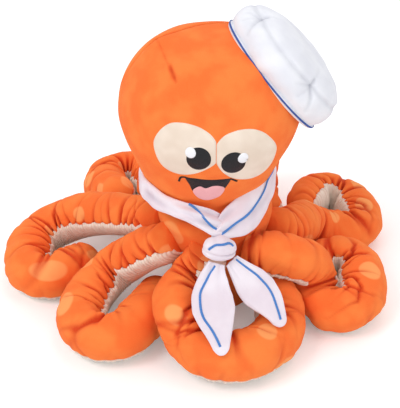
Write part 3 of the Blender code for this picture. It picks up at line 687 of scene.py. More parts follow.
def arm_skin(arm, seams):
    cloth, place, shift, share = arm.rows(skin_spacing)
    girth = arm.at(arm.girth, place)
    low, high = edge_angles(arm, seams, cloth, place, share)
    across = np.linspace(0.0, 1.0, skin_columns)[None, :]
    angle = low[:, None] + (2.0 * math.pi - high - low)[:, None] * across
    from_low = (angle - low[:, None]) * girth[:, None]
    from_high = (2.0 * math.pi - high[:, None] - angle) * girth[:, None]
    relief = seams[0].height(cloth, from_low) + seams[1].height(cloth, from_high)
    fade = np.clip(share, 0.0, 1.0)[:, None] ** 0.5
    plain = ring_points(arm, place, shift, girth[:, None] * share[:, None] * np.ones_like(angle), angle)
    stuffing = lumps(plain, 34.0 * MILLIMETRE, 11) * 0.9 + lumps(plain, 15.0 * MILLIMETRE, 12) * 0.35
    reach = (girth[:, None] + relief * fade) * share[:, None] + stuffing * MILLIMETRE * fade
    skin = ring_points(arm, place, shift, reach, angle)
    under = np.linspace(0.0, 1.0, recess_columns)[None, :]
    below_angle = -high[:, None] + (high + low)[:, None] * (0.03 + 0.94 * under)
    below_reach = (girth * share - recess_depth * fade[:, 0])[:, None] * np.ones_like(below_angle)
    below = ring_points(arm, place, shift, np.maximum(below_reach, 0.0002), below_angle)
    points = np.concatenate([skin, below], axis=1)
    even = (angle - strip_half_angle) * girth[:, None] * fade
    sideways = np.concatenate([even, np.repeat(even[:, -1:], recess_columns, 1)], axis=1)
    lengthways = np.repeat(cloth[:, None], points.shape[1], 1)
    offset = 0.31 * (list(arms).index(arm.name) + 1)
    laid = np.stack([lengthways + offset, sideways + offset], axis=-1)
    # Painted shade: the deeper a crease, the darker the cloth's colour there.
    deep = np.clip(-relief * fade / crease_shade_depth - 0.12, 0.0, 1.0)
    hollow = np.concatenate([deep, np.zeros_like(below_angle)], axis=1)
    return outwards(woven("arm_" + arm.name + "_skin", points, spotted_plush, cloth=laid, hollow=hollow))


# %% [markdown]
# The cream strip is a closed slab that fills the recess. Its outer face bulges between
# the gathers of both seams. Ribs across it come next, from Geometry Nodes.

# %% The cream underside
cream_spacing = 0.7 * MILLIMETRE
cream_columns = 30
cream_thickness = 2.2 * MILLIMETRE
tuck = 0.4 * MILLIMETRE


def underside(arm, seams):
    cloth, place, shift, share = arm.rows(cream_spacing)
    girth = arm.at(arm.girth, place)
    low, high = edge_angles(arm, seams, cloth, place, share)
    slack = tuck / girth
    across = np.linspace(0.0, 1.0, cream_columns)[None, :]
    angle = (-high - slack)[:, None] + (high + low + 2.0 * slack)[:, None] * across
    to_high = (angle + high[:, None]) * girth[:, None]
    to_low = (low[:, None] - angle) * girth[:, None]
    relief = np.zeros_like(angle)
    for seam, away in ((seams[0], to_low), (seams[1], to_high)):
        lobe = np.sqrt(seam.lobes(cloth))[:, None]
        puff = (lobe - 0.5) * 3.6 * MILLIMETRE * (0.4 + 0.6 * seam.amount(cloth))[:, None]
        relief += puff * np.exp(-((away / (7.0 * MILLIMETRE)) ** 2))
        relief -= 1.5 * MILLIMETRE * np.exp(-((np.maximum(away, 0.0) / (1.3 * MILLIMETRE)) ** 2))
    fade = np.clip(share, 0.0, 1.0)[:, None]
    top_reach = (girth[:, None] + relief * fade) * share[:, None]
    top = ring_points(arm, place, shift, np.maximum(top_reach, 0.0003), angle)
    back = np.linspace(1.0, 0.0, 6)[None, :]
    back_angle = (-high)[:, None] + (high + low)[:, None] * back
    back_reach = (girth * share - cream_thickness * fade[:, 0])[:, None] * np.ones_like(back_angle)
    bottom = ring_points(arm, place, shift, np.maximum(back_reach, 0.0002), back_angle)
    points = np.concatenate([top, bottom], axis=1)
    shown = np.concatenate([np.ones_like(angle) * fade, np.zeros_like(back_angle)], axis=1)
    lengthways = np.repeat(cloth[:, None], points.shape[1], 1)
    sideways = np.concatenate([to_high, np.repeat(to_high[:, -1:], 6, 1)], axis=1)
    laid = np.stack([lengthways, sideways], axis=-1)
    name = "underside_" + arm.name + "_strip"
    return outwards(woven(name, points, cream_plush, cloth=laid, along=lengthways, shown=shown))


# %% [markdown]
# Ribs repeat along the strip, so Geometry Nodes make them: each point moves along its
# normal by a wave of its place along the cloth. The tree takes the pitch and height as
# named inputs, and also stores how deep in a valley a point lies, for the painted shade.

# %% Geometry Nodes helpers


class NodeShape:
    """A Geometry Nodes tree under construction."""

    def __init__(self, name, **inputs):
        self.tree = bpy.data.node_groups.new(name, "GeometryNodeTree")
        self.tree.interface.new_socket("Geometry", in_out="INPUT", socket_type="NodeSocketGeometry")
        self.keys = {}
        for key, kind in inputs.items():
            made = self.tree.interface.new_socket(key, in_out="INPUT", socket_type="NodeSocket" + kind)
            self.keys[key] = made.identifier
        self.tree.interface.new_socket("Geometry", in_out="OUTPUT", socket_type="NodeSocketGeometry")
        self.start = self.tree.nodes.new("NodeGroupInput")
        self.end = self.tree.nodes.new("NodeGroupOutput")

    def given(self, key):
        return Wire(self.tree, self.start.outputs[key])

    def node(self, kind, settings=(), output=0, **sockets):
        made = self.tree.nodes.new(kind)
        for key, value in dict(settings).items():
            setattr(made, key, value)
        for key, value in sockets.items():
            name = key.replace("_", " ")
            slot = made.inputs[int(key[1:])] if key[0] == "n" and key[1:].isdigit() else made.inputs[name]
            feed(self.tree, slot, value)
        return Wire(self.tree, made.outputs[output])

    def attribute(self, name, kind="FLOAT"):
        return self.node("GeometryNodeInputNamedAttribute", {"data_type": kind}, Name=name)

    def finish(self, geometry):
        """Ends the tree in Realize Instances and Set Material."""
        real = self.node("GeometryNodeRealizeInstances", Geometry=geometry)
        painted = self.node("GeometryNodeSetMaterial", Geometry=real, Material=self.given("Material"))
        feed(self.tree, self.end.inputs[0], painted)

    def run(self, source, name, **values):
        """A plain mesh object from the tree's result on the source, which is removed."""
        step = source.modifiers.new("shape", "NODES")
        step.node_group = self.tree
        for key, value in values.items():
            step[self.keys[key]] = value
        bpy.context.view_layer.update()
        graph = bpy.context.evaluated_depsgraph_get()
        mesh = bpy.data.meshes.new_from_object(source.evaluated_get(graph))
        mesh.name = name
        made = bpy.data.objects.new(name, mesh)
        bpy.context.scene.collection.objects.link(made)
        spent = source.data
        bpy.data.objects.remove(source)
        bpy.data.meshes.remove(spent)
        made.name = mesh.name = name
        return made


# %% Ribs across the strips
rib_pitch = 3.4 * MILLIMETRE
rib_height = 1.1 * MILLIMETRE


def rib_tree():
    shape = NodeShape("ribs", Pitch="Float", Height="Float", Material="Material")
    turn = shape.attribute("along") * math.pi / shape.given("Pitch")
    wave = turn.sine().math("ABSOLUTE", turn.sine())
    rise = (wave ** 0.7 - 0.6) * shape.given("Height") * shape.attribute("shown")
    normal = shape.node("GeometryNodeInputNormal")
    push = shape.node("ShaderNodeVectorMath", {"operation": "SCALE"}, Vector=normal, Scale=rise)
    start = shape.given("Geometry")
    marked = shape.node(
        "GeometryNodeStoreNamedAttribute", {"data_type": "FLOAT"},
        Geometry=start, Name="valley", Value=1.0 - wave ** 0.5,
    )
    moved = shape.node("GeometryNodeSetPosition", Geometry=marked, Offset=push)
    shape.finish(moved)
    return shape


ribs = rib_tree()
skins = {}
undersides = {}
for number, (name, arm) in enumerate(arms.items()):
    seams = [Seam(arm, 1.0, 100 + number), Seam(arm, -1.0, 200 + number)]
    skins[name] = arm_skin(arm, seams)
    strip = underside(arm, seams)
    strip = ribs.run(strip, strip.name, Pitch=rib_pitch, Height=rib_height, Material=cream_plush)
    undersides[name] = strip
print("arm skins", sum(len(piece.data.polygons) for piece in skins.values()), "faces")

# %% [markdown]
# The torso hardly shows: it is the soft core that the arms are sewn to. A turned shape
# with a little unevenness is enough, wide at the shoulders where the scarf lies.

# %% The torso
torso_profile_shares = (
    (1.55, 0.02), (1.74, 0.3), (1.84, 1.2), (1.86, 2.4), (2.10, 3.2), (2.34, 4.0), (2.46, 4.45),
    (2.34, 4.75), (2.05, 5.0), (1.7, 5.12),
)


def turned_rows(profile, columns, rows, centre=(0.0, 0.0)):
    """Rows of points of a turned shape, from (radius, height) points."""
    line, _ = curve_through([(r, 0.0, z) for r, z in profile], rows)
    turn = np.linspace(0.0, 2.0 * math.pi, columns, endpoint=False)
    x = centre[0] + line[:, 0:1] * np.cos(turn)
    y = centre[1] + line[:, 0:1] * np.sin(turn)
    return np.stack([x, y, np.repeat(line[:, 2:3], columns, 1)], axis=-1), turn


torso_rows, _ = turned_rows([(r * arm_radius, z * arm_radius) for r, z in torso_profile_shares], 160, 90)
spread = unit(torso_rows * [1.0, 1.0, 0.0])
torso_rows = torso_rows + spread * (lumps(torso_rows, 30.0 * MILLIMETRE, 21) * 0.8 * MILLIMETRE)[..., None]
torso_rows[..., 2] = np.maximum(torso_rows[..., 2], floor_level)
TORSO_CLOTH_START = 3.1
TORSO_CLOTH_RADIUS = 0.05
around_torso = np.arctan2(torso_rows[..., 1], torso_rows[..., 0]) * TORSO_CLOTH_RADIUS
torso_cloth = np.stack([torso_rows[..., 2] + TORSO_CLOTH_START, around_torso], axis=-1)
torso = outwards(woven("torso_skin", torso_rows, spotted_plush, cloth=torso_cloth))

# %% [markdown]
# The head is a tall ball of two panels, joined by a seam that runs over the top, with a
# dart in the front panel. A seam pulls the cloth in, so each is a narrow groove, and the
# cloth beside it swells. One function says how far the surface stands out anywhere, and
# the face pieces use the finished mesh to find their own height.

# %% The head's two panels
head_profile_shares = (
    (0.56, -0.02), (0.60, 0.0), (0.625, 0.06), (0.68, 0.13), (0.755, 0.22), (0.836, 0.32), (0.922, 0.42),
    (0.982, 0.52), (0.99, 0.61), (0.963, 0.70), (0.894, 0.785), (0.788, 0.86), (0.66, 0.92),
    (0.48, 0.965), (0.25, 0.993), (0.004, 1.0),
)
dart_shares = (
    (-0.572, 0.0, 0.951), (-0.531, -0.209, 0.951), (-0.489, -0.373, 0.939), (-0.456, -0.447, 0.932),
    (-0.421, -0.562, 0.912), (-0.379, -0.654, 0.884),
)
seam_depth = 1.5 * MILLIMETRE
seam_width = 1.5 * MILLIMETRE
head_lean = 3.0 * MILLIMETRE


def head_seam(points):
    """The distance in front of (negative) or behind the seam that joins the panels."""
    rise = smooth_step(((points[..., 2] - neck_level) / head_height - 0.90) / 0.06)
    across = (points[..., 0] - head_shift) / head_radius
    return points[..., 1] - head_radius * rise * np.maximum(0.31 + 0.47 * across, 0.0)


def away_from_line(points, line):
    """Each point's distance from a line through a few places, and its share along it."""
    nearest = np.full(points.shape[:-1], 1e9)
    share = np.zeros(points.shape[:-1])
    for i in range(len(line) - 1):
        a, b = line[i], line[i + 1]
        t = np.clip(((points - a) @ (b - a)) / ((b - a) @ (b - a)), 0.0, 1.0)
        far = np.linalg.norm(points - (a + t[..., None] * (b - a)), axis=-1)
        share = np.where(far < nearest, (i + t) / (len(line) - 1), share)
        nearest = np.minimum(far, nearest)
    return nearest, share


def head_place(shares):
    """A point of the head, from shares of its radius across and back, and of its height."""
    across, back, up = shares
    return np.array([across * head_radius + head_shift, back * head_radius, neck_level + up * head_height])


head_line = [(r * head_radius, neck_level + z * head_height) for r, z in head_profile_shares]
head_rows, _ = turned_rows(head_line, 300, 190, (head_shift, 0.0))
head_middle = np.array([head_shift, 0.0, neck_level + 0.45 * head_height])
spokes = unit(head_rows - head_middle)
offset = lumps(head_rows, 60.0 * MILLIMETRE, 31) * 0.8 * MILLIMETRE
to_seam = head_seam(head_rows)
seam_line = np.exp(-((to_seam / seam_width) ** 2))
offset += 0.7 * MILLIMETRE * np.exp(-((np.abs(to_seam) / (9.0 * MILLIMETRE) - 0.8) ** 2))
dart = np.array([head_place(shares) for shares in dart_shares])
to_dart, dart_share = away_from_line(head_rows, dart)
slit = smooth_step((dart_share - 0.50) / 0.18)
closing = 1.0 - 0.8 * smooth_step((dart_share - 0.85) / 0.15)
dart_width = (0.9 + 0.9 * slit * closing) * MILLIMETRE
dart_line = np.exp(-((to_dart / dart_width) ** 2)) * (0.62 + 0.8 * slit * closing)
offset += 1.0 * MILLIMETRE * np.exp(-((to_dart / (9.0 * MILLIMETRE) - 0.7) ** 2)) * slit
to_corner = np.linalg.norm(head_rows - dart[0], axis=-1)
offset += 2.6 * MILLIMETRE * np.exp(-((to_corner / (14.0 * MILLIMETRE)) ** 2))
offset -= seam_depth * seam_line + 2.0 * MILLIMETRE * dart_line
head_rows = head_rows + spokes * offset[..., None]
head_rows[..., 0] += head_lean * ((head_rows[..., 2:3] - neck_level) / head_height * 2.0 - 1.0)[..., 0]
# Painted shade along the seam and the dart.
head_crease_shade = np.clip(0.3 * seam_line + 0.75 * dart_line, 0.0, 1.0)


def head_panel(name, front):
    made = woven(name, head_rows, orange_plush, caps=False)
    mesh = made.data
    middles = np.array([polygon.center for polygon in mesh.polygons])
    keep = (head_seam(middles) < 0.0) == front
    corners = np.array([polygon.vertices for polygon in mesh.polygons])[keep]
    used, faces = np.unique(corners, return_inverse=True)
    points = head_rows.reshape(-1, 3)[used]
    faces = faces.reshape(-1, 4).tolist()
    if front:
        columns = head_rows.shape[1]
        faces.append(list(range(len(used) - columns, len(used))))
    bpy.data.objects.remove(made)
    panel = bpy.data.meshes.new(name)
    panel.from_pydata(points.tolist(), [], faces)
    stored = panel.attributes.new("hollow", "FLOAT", "POINT")
    stored.data.foreach_set("value", head_crease_shade.ravel()[used].astype(np.float32))
    panel.shade_smooth()
    panel.materials.append(orange_plush)
    made = bpy.data.objects.new(name, panel)
    bpy.context.scene.collection.objects.link(made)
    wall = made.modifiers.new("cloth", "SOLIDIFY")
    wall.thickness = 1.4 * MILLIMETRE
    wall.offset = -1.0
    return made


head_front = head_panel("head_front_skin", True)
head_back = head_panel("head_back_skin", False)


def surface_of(rows):
    """A search tree over rows of points, to drop other pieces onto."""
    count, wide = rows.shape[:2]
    index = np.arange(count * wide).reshape(count, wide)
    index = np.concatenate([index, index[:, :1]], axis=1)
    quads = np.stack([index[:-1, :-1], index[:-1, 1:], index[1:, 1:], index[1:, :-1]], axis=-1)
    return BVHTree.FromPolygons(rows.reshape(-1, 3).tolist(), quads.reshape(-1, 4).tolist())


head_surface = surface_of(head_rows)
print("head box", np.round(head_rows.min((0, 1)), 4), np.round(head_rows.max((0, 1)), 4))

# %% [markdown]
# The face is appliqué and embroidery. Every piece is an outline in shares of the head,
# filled with rings of points that are dropped onto the head from the front, and then
# raised by its own padding. The rim dips, as a stitched edge does.

# %% Appliqué on the face
LOOK_AHEAD = Vector((0.0, 1.0, 0.0))
SHOULDER_SHARE = 0.30


def drop(surface, x, z):
    """How far forwards the surface stands at this place of the face."""
    hit, normal, _, _ = surface.ray_cast(Vector((x, -1.0, z)), LOOK_AHEAD)
    return hit.y if hit is not None else 0.0


def ellipse(centre, axes, count):
    """An upright oval outline on the face, in shares of the head."""
    turn = np.linspace(0.0, 2.0 * math.pi, count, endpoint=False)
    x = centre[0] * head_radius + head_shift + axes[0] * head_radius * np.cos(turn)
    z = neck_level + centre[1] * head_height + axes[1] * head_height * np.sin(turn)
    return np.stack([x, z], axis=1)


def applique(name, outline, surface, material, padding, rim, rings=22):
    """A padded patch within the outline; returns the piece and its face rows."""
    middle = outline.mean(0)
    shares = np.linspace(0.02, 1.0, rings)
    flat = middle + (outline[None] - middle) * shares[:, None, None]
    depth = np.array([[drop(surface, x, z) for x, z in ring] for ring in flat])
    edge = np.linalg.norm(outline - middle, axis=1)[None, :] * (1.0 - shares[:, None])
    shoulder = SHOULDER_SHARE * np.linalg.norm(outline - middle, axis=1).mean()
    raised = rim + (padding - rim) * (1.0 - np.exp(-edge / shoulder))
    front = np.stack([flat[..., 0], depth - raised, flat[..., 1]], axis=-1)
    backing = front[-1:] + [0.0, 2.0 * MILLIMETRE, 0.0]
    rows = np.concatenate([front, backing])
    made = outwards(woven(name, rows, material))
    return made, rows


def loop_through(shares, count=96):
    """A smooth closed outline through (across, up) shares of the head."""
    laid = np.array(shares) * (head_radius, head_height) + (head_shift, neck_level)
    place = np.linspace(0.0, len(laid), count, endpoint=False)
    first = place.astype(int)
    t = (place - first)[:, None]
    a, b, c, d = (laid[(first + k) % len(laid)] for k in (-1, 0, 1, 2))
    return catmull_rom(a, b, c, d, t)


eye_outline_shares = {
    "left": (
        (0.070, 0.505), (0.070, 0.606), (0.011, 0.663), (-0.090, 0.700), (-0.189, 0.716), (-0.293, 0.719),
        (-0.408, 0.703), (-0.511, 0.653), (-0.581, 0.578), (-0.565, 0.501), (-0.508, 0.433), (-0.413, 0.397),
        (-0.300, 0.388), (-0.185, 0.404), (-0.059, 0.441),
    ),
    "right": (
        (0.696, 0.489), (0.667, 0.556), (0.565, 0.628), (0.454, 0.666), (0.345, 0.679), (0.241, 0.676),
        (0.133, 0.654), (0.053, 0.597), (0.053, 0.515), (0.122, 0.428), (0.236, 0.360), (0.362, 0.328),
        (0.474, 0.320), (0.582, 0.338), (0.658, 0.395),
    ),
}
eye_seam = 0.0615 * head_radius + head_shift
face_pieces = {}
face_surfaces = {}
for side_name, shares in eye_outline_shares.items():
    outline = loop_through(shares, 120)
    side = 1.0 if side_name == "left" else -1.0
    limit = eye_seam - side * 0.2 * MILLIMETRE
    outline[:, 0] = np.minimum(outline[:, 0], limit) if side > 0.0 else np.maximum(outline[:, 0], limit)
    piece, rows = applique(
        "eye_patch_" + side_name + "_cloth", outline, head_surface, patch_plush,
        padding=2.4 * MILLIMETRE, rim=0.1 * MILLIMETRE,
    )
    face_pieces["eye_patch_" + side_name] = piece
    face_surfaces[side_name] = surface_of(rows)

pupil_shares = {"left": (-0.118, 0.525), "right": (0.239, 0.488)}
glint_shares = {"left": (-0.201, 0.568), "right": (0.337, 0.520)}
pupil_radius = 10.3 * MILLIMETRE
glint_radius = 4.4 * MILLIMETRE
pupil_tallness = 1.19


def round_outline(shares, radius, count=64):
    return ellipse(shares, (radius / head_radius, pupil_tallness * radius / head_height), count)


for side_name in pupil_shares:
    surface = face_surfaces[side_name]
    pupil = round_outline(pupil_shares[side_name], pupil_radius)
    face_pieces["pupil_" + side_name], _ = applique(
        "pupil_" + side_name + "_embroidery", pupil, surface, black_thread,
        padding=0.9 * MILLIMETRE, rim=0.2 * MILLIMETRE, rings=16,
    )
    glint = round_outline(glint_shares[side_name], glint_radius)
    face_pieces["glint_" + side_name], _ = applique(
        "glint_" + side_name + "_embroidery", glint, surface, white_thread,
        padding=1.6 * MILLIMETRE, rim=0.9 * MILLIMETRE, rings=10,
    )

mouth_shares = (
    (-0.261, 0.370), (-0.209, 0.370), (-0.156, 0.371), (-0.089, 0.368), (-0.017, 0.365), (0.052, 0.363),
    (0.123, 0.362), (0.222, 0.358), (0.215, 0.342), (0.203, 0.326), (0.168, 0.289), (0.119, 0.251),
    (0.045, 0.224), (-0.040, 0.216), (-0.126, 0.229), (-0.186, 0.267), (-0.213, 0.307), (-0.241, 0.338),
)
tongue_shares = (
    (-0.178, 0.271), (-0.142, 0.297), (-0.100, 0.310), (-0.044, 0.296), (0.026, 0.313), (0.097, 0.311),
    (0.155, 0.285), (0.127, 0.240), (0.072, 0.214), (-0.029, 0.196), (-0.115, 0.211), (-0.165, 0.243),
)
face_pieces["mouth"], _ = applique(
    "mouth_embroidery", loop_through(mouth_shares), head_surface, black_thread,
    padding=0.8 * MILLIMETRE, rim=0.1 * MILLIMETRE,
)
face_pieces["tongue"], _ = applique(
    "tongue_embroidery", loop_through(tongue_shares), head_surface, pink_thread,
    padding=2.0 * MILLIMETRE, rim=1.1 * MILLIMETRE,
)
print("face pieces", len(face_pieces))

# %% [markdown]
# The hat is a puffed crown on a rolled band. Four tufts pull the crown in where its top
# panel joins its side, and shallow creases run from tuft to tuft. It leans over the
# right of the head, so it is made upright and then turned onto the frame's own axis.

# %% The hat
hat_axis = np.array([0.778, 0.126, 0.626])
hat_centre_height_share = 0.462
hat_seat_share = 0.892
hat_profile_shares = (
    (0.58, -0.05), (0.675, -0.038), (0.732, 0.025), (0.755, 0.12), (0.738, 0.23), (0.66, 0.34),
    (0.49, 0.435), (0.27, 0.485), (0.004, 0.495),
)
hat_up = unit(hat_axis)
hat_right = unit(np.cross([0.0, 1.0, 0.0], hat_up))
hat_ahead = np.cross(hat_up, hat_right)
hat_turn = np.stack([hat_right, hat_ahead, hat_up], axis=0)
hat_place = np.array([head_shift, 0.0, neck_level + hat_centre_height_share * head_height])
hat_place = hat_place + hat_up * hat_seat_share * head_radius
tuft_angles = (194.0, 279.0, 10.0, 102.0)
tuft_ring = (0.70, 0.28)
tuft_depth = 4.6 * MILLIMETRE
tuft_width = 11.0 * MILLIMETRE
crown_middle_share = 0.22
# Creases out of a tuft: places as (degrees past it, ring, height), depth and width in mm, fading.
tuft_creases = (
    (((7.0, 0.73, 0.20), (12.0, 0.745, 0.09)), 4.4, 2.1, 0.8),
    (((0.0, 0.62, 0.40), (4.0, 0.46, 0.47)), 2.8, 2.0, 0.8),
    (((-13.0, 0.73, 0.20),), 3.6, 1.9, 0.7),
    (((-4.0, 0.745, 0.13),), 3.0, 1.7, 0.7),
)
# Depth and width in mm, and fading, of the seam from tuft to tuft and of the ridge across the top.
panel_seam = (1.7, 2.4, 0.0)
top_ridge = (-1.5, 4.0, 0.6)


def around_hat(degrees, ring, height):
    """A point of the upright hat, from an angle and two shares of the head's radius."""
    turn = math.radians(degrees)
    return np.array([ring * math.cos(turn), ring * math.sin(turn), height]) * head_radius


def crown_lines():
    """Every crease and ridge of the crown: its line, depth and width in mm, and fading."""
    lines = []
    for i, degrees in enumerate(tuft_angles):
        span = (tuft_angles[(i + 1) % len(tuft_angles)] - degrees) % 360.0
        tuft = around_hat(degrees, *tuft_ring)
        steps = np.linspace(0, 1, 7)
        seam = [around_hat(degrees + span * t, 0.70, 0.29 - 0.02 * math.sin(math.pi * t)) for t in steps]
        lines.append((seam, *panel_seam))
        for places, deep, wide, fading in tuft_creases:
            line = [tuft] + [around_hat(degrees + turn, ring, height) for turn, ring, height in places]
            lines.append((line, deep, wide, fading))
        ridge = [around_hat(degrees + span * 0.68, 0.67, 0.34), around_hat(degrees + span * 0.5, 0.3, 0.505)]
        lines.append((ridge, *top_ridge))
    return lines


def hat_crown():
    rows, _ = turned_rows([(r * head_radius, z * head_radius) for r, z in hat_profile_shares], 260, 170)
    outward = unit(rows - [0.0, 0.0, crown_middle_share * head_radius])
    relief = lumps(rows, 42.0 * MILLIMETRE, 41) * 1.3 * MILLIMETRE
    relief += lumps(rows, 17.0 * MILLIMETRE, 42) * 0.35 * MILLIMETRE
    for degrees in tuft_angles:
        away = np.linalg.norm(rows - around_hat(degrees, *tuft_ring), axis=-1)
        relief -= tuft_depth * np.exp(-((away / tuft_width) ** 2))
    crease = np.zeros(rows.shape[:2])
    for line, deep, wide, fading in crown_lines():
        far, share = away_from_line(rows, np.array(line))
        shape = deep * np.exp(-((far / (wide * MILLIMETRE)) ** 2)) * (1.0 - fading * share)
        crease = np.maximum(crease, shape)
        relief -= np.minimum(shape, 0.0) * MILLIMETRE
    rows = rows + outward * (relief - crease * MILLIMETRE)[..., None]
    # Painted shade in the crown's creases and seams.
    hollow = np.clip(0.17 * crease, 0.0, 0.8)
    return outwards(woven("hat_crown_cloth", rows @ hat_turn + hat_place, white_plush, hollow=hollow))


hat_band_radius = 0.688 * head_radius
hat_band_height = 4.7 * MILLIMETRE
hat_band_thickness = 2.8 * MILLIMETRE


def ring_rows(radius, height, tube_wide, tube_tall, columns=260, sides=20):
    """A ring with an oval section, as rows round the axis."""
    turn = np.linspace(0.0, 2.0 * math.pi, columns, endpoint=False)[:, None]
    section = np.linspace(0.0, 2.0 * math.pi, sides, endpoint=False)[None, :]
    away = radius + tube_wide * np.cos(section)
    level = height + tube_tall * np.sin(section) + 0.0 * turn
    rows = np.stack([away * np.cos(turn), away * np.sin(turn), level], axis=-1)
    return np.concatenate([rows, rows[:1]])


band_rows = ring_rows(hat_band_radius, -0.5 * hat_band_height, hat_band_thickness, 0.55 * hat_band_height)
hat_band = outwards(woven("hat_band_cloth", band_rows @ hat_turn + hat_place, white_plush, caps=False))
crown = hat_crown()

# %% [markdown]
# A satin stitch is a row of short threads, side by side, across a line. Geometry Nodes
# lay one thin strand at each step along the line and turn it by two directions that the
# line carries: across the stitch, and up from the cloth. The hat, scarf and tails share
# this one tree.

# %% Satin stitching
stripe_width = 2.7 * MILLIMETRE
hat_stripe_width = 2.1 * MILLIMETRE
stitch_pitch = 0.55 * MILLIMETRE
strand_radius = 0.36 * MILLIMETRE


def stitch_tree():
    shape = NodeShape("satin_stitch", Pitch="Float", Width="Float", Strand="Float", Material="Material")
    line = shape.node("GeometryNodeMeshToCurve", Mesh=shape.given("Geometry"))
    by_length = {"mode": "LENGTH"}
    dots = shape.node("GeometryNodeResampleCurve", by_length, Curve=line, Length=shape.given("Pitch"))
    strand = shape.node("GeometryNodeMeshUVSphere", Segments=6, Rings=5, Radius=1.0)
    across, up = (shape.attribute(key, "FLOAT_VECTOR") for key in ("across", "up"))
    align = "FunctionNodeAlignRotationToVector"
    along = shape.node(align, {"axis": "X"}, Vector=across)
    turn = shape.node(align, {"axis": "Z", "pivot_axis": "X"}, Rotation=along, Vector=up)
    half = shape.given("Width") * 0.5
    size = shape.node("ShaderNodeCombineXYZ", X=half, Y=shape.given("Strand"), Z=shape.given("Strand"))
    placed = shape.node(
        "GeometryNodeInstanceOnPoints", Points=dots, Instance=strand, Rotation=turn, Scale=size
    )
    shape.finish(placed)
    return shape


satin = stitch_tree()


def stitched(name, line, across, up, material, width=stripe_width, pitch=stitch_pitch, closed=False):
    """A satin stripe along a line of points, with its two directions at each point."""
    mesh = bpy.data.meshes.new(name)
    count = len(line)
    edges = [(i, i + 1) for i in range(count - 1)]
    if closed:
        edges.append((count - 1, 0))
    mesh.from_pydata(np.asarray(line).tolist(), edges, [])
    for key, values in (("across", across), ("up", up)):
        stored = mesh.attributes.new(key, "FLOAT_VECTOR", "POINT")
        stored.data.foreach_set("vector", np.asarray(values, np.float32).ravel())
    source = bpy.data.objects.new(name, mesh)
    bpy.context.scene.collection.objects.link(source)
    made = satin.run(source, name, Pitch=pitch, Width=width, Strand=strand_radius, Material=material)
    made.data.shade_smooth()
    return made


turn = np.linspace(0.0, 2.0 * math.pi, 240, endpoint=False)
outward = np.stack([np.cos(turn), np.sin(turn), np.zeros_like(turn)], axis=1)
stripe_radius = hat_band_radius + hat_band_thickness + 0.2 * MILLIMETRE
hat_line = outward * stripe_radius + [0.0, 0.0, -0.42 * hat_band_height]
hat_across = outward * 0.25 + [0.0, 0.0, 0.97]
hat_stripe = stitched(
    "hat_stripe_stitches", hat_line @ hat_turn + hat_place, hat_across @ hat_turn, outward @ hat_turn,
    dark_blue_thread, hat_stripe_width, closed=True,
)

# %% [markdown]
# The mouth's corners end in two short strokes. They are satin stitched as the stripes
# are, in black, on points dropped onto the head.

# %% The mouth's corners
stroke_shares = {
    "left": ((-0.326, 0.328), (-0.311, 0.358), (-0.289, 0.369), (-0.250, 0.371)),
    "right": ((0.212, 0.359), (0.244, 0.346), (0.284, 0.327)),
}
stroke_width = 1.9 * MILLIMETRE
stroke_pitch = 0.45 * MILLIMETRE


def mouth_stroke(side_name):
    shares = stroke_shares[side_name]
    line, _ = curve_through([head_place((x, 0.0, z)) for x, z in shares], 24)
    line[:, 1] = [drop(head_surface, x, z) for x, _, z in line]
    up = unit(line - [head_shift, 0.0, neck_level + 0.5 * head_height])
    beside = unit(np.cross(unit(np.gradient(line, axis=0)), up))
    name = "mouth_stroke_" + side_name + "_stitches"
    line = line + up * 0.3 * MILLIMETRE
    return stitched(name, line, beside, up, black_thread, stroke_width, stroke_pitch)


mouth_strokes = [mouth_stroke(side_name) for side_name in stroke_shares]

# %% [markdown]
# The scarf is a folded band of white plush. It comes round the neck on both sides, lies
# on the shoulders and runs into the knot, narrowing as it goes. Each half is a ribbon
# with a soft, crowned section. The cloth is a sheet.

# %% The scarf band
scarf_width = 26.0 * MILLIMETRE
scarf_thickness = 4.2 * MILLIMETRE
scarf_axis = np.array([-0.30, 0.0, 0.0]) * arm_radius
scarf_tilt_share = 0.12
# Degrees from the front, radius, height, lean of the upper edge in degrees, width.
scarf_course = {
    "left": np.array([
        (-13.0, 2.98, 5.35, -36.0, 0.70), (-4.0, 3.12, 5.62, -38.0, 0.95), (3.2, 3.18, 5.92, -38.0, 0.79),
        (16.0, 2.98, 6.05, -34.0, 0.61), (30.0, 2.92, 6.12, -26.0, 0.58), (43.0, 2.90, 6.15, -19.0, 0.66),
        (58.0, 2.88, 6.26, -11.0, 0.70), (75.0, 2.80, 6.08, -4.0, 0.80), (90.0, 2.76, 5.95, 2.0, 0.90),
        (180.0, 2.74, 5.75, 8.0, 1.0),
    ]),
    "right": np.array([
        (2.0, 3.32, 5.08, -38.0, 0.36), (6.0, 3.24, 5.36, -37.0, 0.72), (11.0, 3.10, 5.49, -36.0, 0.95),
        (17.0, 2.97, 5.52, -33.0, 1.11), (27.0, 2.91, 5.59, -28.0, 1.35), (37.0, 2.86, 5.70, -23.0, 1.40),
        (51.0, 2.78, 5.84, -15.0, 1.12), (60.0, 2.72, 5.92, -10.0, 0.98), (75.0, 2.70, 5.96, -4.0, 0.95),
        (90.0, 2.70, 5.92, 2.0, 0.95), (180.0, 2.74, 5.75, 8.0, 1.0),
    ]),
}
knot_place = np.array([0.14, -3.68, 4.84]) * arm_radius
knot_size = np.array([0.66, 0.48, 0.51]) * arm_radius


